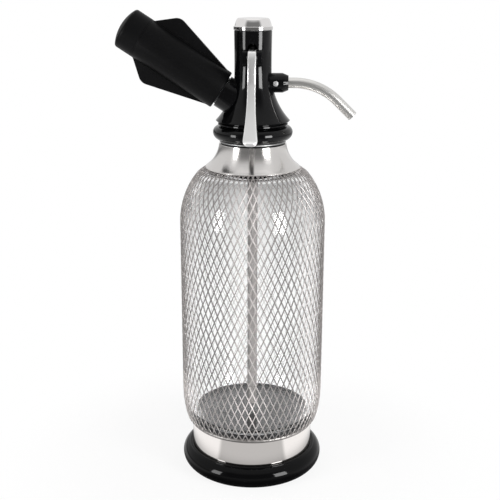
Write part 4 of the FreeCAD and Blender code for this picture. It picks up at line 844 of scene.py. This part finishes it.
def strap(name, line, angle, half, thick, aside=0.0, rounding=0.8):
    """A strap swept behind its front line: a section 2 * half wide and thick deep with rounded corners.

    Each corner is an arc of the rounding, about (+-(half - rounding), -rounding or rounding - thick).
    """
    swing = np.radians(np.linspace(90, 0, CORNER_POINTS))
    half, thick = half[:, None], thick[:, None]
    front, back = np.full_like(half, -rounding), rounding - thick
    across, depth = [], []
    for quarter, (side, centre) in enumerate(((1, front), (1, back), (-1, back), (-1, front))):
        corner = swing - quarter * math.pi / 2
        across.append(side * (half - rounding) + rounding * np.cos(corner))
        depth.append(centre + rounding * np.sin(corner))
    across = np.hstack(across)
    depth = np.hstack(depth)
    points = np.stack((
        across + aside,
        line[:, :1] - np.cos(angle)[:, None] * depth,
        line[:, 1:] + np.sin(angle)[:, None] * depth,
    ), axis=-1)
    stations, section = points.shape[:2]
    row = np.arange(stations - 1)[:, None] * section
    side = np.arange(section)[None]
    after = (side + 1) % section
    quads = np.stack((row + side, row + after, row + section + after, row + section + side), axis=-1)
    ends = [side[0, ::-1].tolist(), (side[0] + (stations - 1) * section).tolist()]
    faces = quads.reshape(-1, 4).tolist() + ends
    return closed_mesh(name, points.reshape(-1, 3) * MM, faces, smooth_angle=40)


# The strap's flanks spread downwards as arcs, its tip has round corners, and the arm is thicker than it.
way, angle, line = swept_line(np.array((LEVER_START, LEVER_TOP)), lever_way, lever_lean, 240)
below = np.maximum(FLANK_TOP - line[:, 1], 0)
half = LEVER_HALF + FLANK_RADIUS - np.sqrt(FLANK_RADIUS ** 2 - below ** 2)
to_tip = np.clip(TIP_ROUND - (way[-1] - way), 0, TIP_ROUND * 0.98)
half -= TIP_ROUND - np.sqrt(TIP_ROUND ** 2 - to_tip ** 2)
thick = np.interp(way, (9.0, 12.0), (ARM_THICK, STRAP_THICK))
fit(strap("lever_strap", line, angle, half, thick), satin_chrome, "lever", "satin_chrome", "lever")

# The fork's prongs end in a round nose that rolls under the spindle's nut: its top is y = radius * cos a,
# z = middle + radius * sin a, and its underside is the same mirrored about the middle.
NOSE_RADIUS, NOSE_Z, PRONG_HALF, PRONG_ASIDE, PRONG_ROOT = 1.9, 299.0, 0.475, 2.275, -3.9
swing = np.radians(np.linspace(12, 90, 14))
line = np.vstack((
    np.column_stack((NOSE_RADIUS * np.cos(swing), NOSE_Z + NOSE_RADIUS * np.sin(swing))),
    (PRONG_ROOT, NOSE_Z + NOSE_RADIUS),
))
angle = np.full(len(line), math.pi / 2)
thick = 2 * (line[:, 1] - NOSE_Z)
for side in (-1, 1):
    prong = strap(
        f"lever_prong_{side}", line, angle, np.full(len(line), PRONG_HALF), thick, side * PRONG_ASIDE, 0.3,
    )
    fit(prong, satin_chrome, "lever", "satin_chrome")

HUB_RADIUS, PIN_Y, PIN_Z = 3.1, -14.2, 296.0


def across_tower(points):
    """Lay an upright hub along X through the pin's place: (x, y, z) becomes (z, pin + x, pin + y)."""
    return np.column_stack((points[:, 2], PIN_Y * MM + points[:, 0], PIN_Z * MM + points[:, 1]))


hub_outline = rounded([(0, -LEVER_HALF, 0), (HUB_RADIUS, -LEVER_HALF, 0.3), (HUB_RADIUS, LEVER_HALF, 0.3),
                       (0, LEVER_HALF, 0)])
fit(turned("lever_hub", hub_outline, 48, bend=across_tower), satin_chrome, "lever", "satin_chrome")


# ---------------------------------------------------------------- spout
# A drawn steel tube, bent once and cut square. A black ferrule with a rubber ring and a set screw holds it in
# the head's boss.

spout_steel, tree, out = new_material("spout_steel")
shader = surface(tree, out, (0.70, 0.69, 0.67), metallic=1.0)
smears = use_group(tree, handling, Roughness=0.30, Smears=0.03, Size=90.0)
link(tree, smears, "Roughness", shader, "Roughness")

TUBE_RADIUS, TUBE_BORE = 3.5, 2.7
TUBE_START, TUBE_HEIGHT, TUBE_END = 13.2, 278.7, (67.1, 256.7)
TUBE_BEND, TUBE_TURN = 41.3, math.radians(44.3)
knee = TUBE_END[0] - (TUBE_HEIGHT - TUBE_END[1]) / math.tan(TUBE_TURN)
level_run = knee - TUBE_BEND * math.tan(TUBE_TURN / 2) - TUBE_START
bend_run = TUBE_BEND * TUBE_TURN
last_run = (TUBE_HEIGHT - TUBE_END[1]) / math.sin(TUBE_TURN) - TUBE_BEND * math.tan(TUBE_TURN / 2)


def bent_tube(points):
    """Bend a tube made upright along the spout's line: level run, an arc of the bend's radius, slanting run.

    Height s becomes the way along the line, and (x, y) the place in the tube's section: x up and y across.
    """
    up, across, way = points[:, 0] / MM, points[:, 1] / MM, points[:, 2] / MM
    turned_by = np.clip((way - level_run) / TUBE_BEND, 0, TUBE_TURN)
    past = np.maximum(way - level_run - bend_run, 0)
    reach = TUBE_START + np.minimum(way, level_run) + TUBE_BEND * np.sin(turned_by) + past * np.cos(TUBE_TURN)
    level = TUBE_HEIGHT - TUBE_BEND * (1 - np.cos(turned_by)) - past * np.sin(TUBE_TURN)
    return np.column_stack((reach + up * np.sin(turned_by), across, level + up * np.cos(turned_by))) * MM


tube_run = level_run + bend_run + last_run
way = np.linspace(0.6, tube_run - 0.5, 90)
tube_outline = np.vstack((
    rounded([(TUBE_BORE, 0.3, 0), (TUBE_BORE, 0, 0.1), (TUBE_RADIUS, 0, 0.1), (TUBE_RADIUS, 0.3, 0)]),
    np.column_stack((np.full_like(way, TUBE_RADIUS), way)),
    rounded([(TUBE_RADIUS, tube_run - 0.4, 0), (TUBE_RADIUS, tube_run, 0.25),
             (TUBE_BORE, tube_run, 0.25), (TUBE_BORE, tube_run - 0.4, 0)]),
    np.column_stack((np.full_like(way, TUBE_BORE), way[::-1])),
))
spout = turned("spout_drawn", tube_outline, 48, bend=bent_tube)
fit(spout, spout_steel, "head", "spout_steel", "spout_tube")
dress("spout_seal", rubber)
dress("spout_ferrule", gloss_black, rounding=0.4)
dress("spout_screw", spun_metal("screw_steel", (0.42, 0.42, 0.42), 0.6, 0.02, 900.0))


# ---------------------------------------------------------------- dip tube
# A translucent plastic tube hangs from the head almost to the bottle's floor.
# A rubber sleeve in the head grips its end.

clear_tube, tree, out = new_material("clear_tube")
surface(tree, out, (0.14, 0.133, 0.129), roughness=0.5, specular=0.2)
dress("dip_tube", clear_tube)
dress("tube_sleeve", rubber)


# ---------------------------------------------------------------- charger port and holder
# A steel nipple in the head's boss has a hollow pin, a rubber gasket and a check valve's ball. The charger's
# holder screws on it: a satin black moulding with two wings and a domed end, over an aluminium liner with a
# rubber pad at its bottom.

dress("charger_port", dark_steel)
dress("piercing_pin", plain_steel)
dress("port_gasket", rubber)
dress("check_ball", rubber)
matte_black = moulded("matte_black", (0.003, 0.003, 0.0032), 0.40, 0.10, 2200.0, specular=0.06)
liner_aluminium = spun_metal("liner_aluminium", (0.72, 0.73, 0.74), 0.25, 0.15, 900.0)
dress("holder_grip", matte_black, rounding=0.4)
dress("holder_cap", matte_black)
dress("holder_liner", liner_aluminium)
dress("holder_pad", rubber)
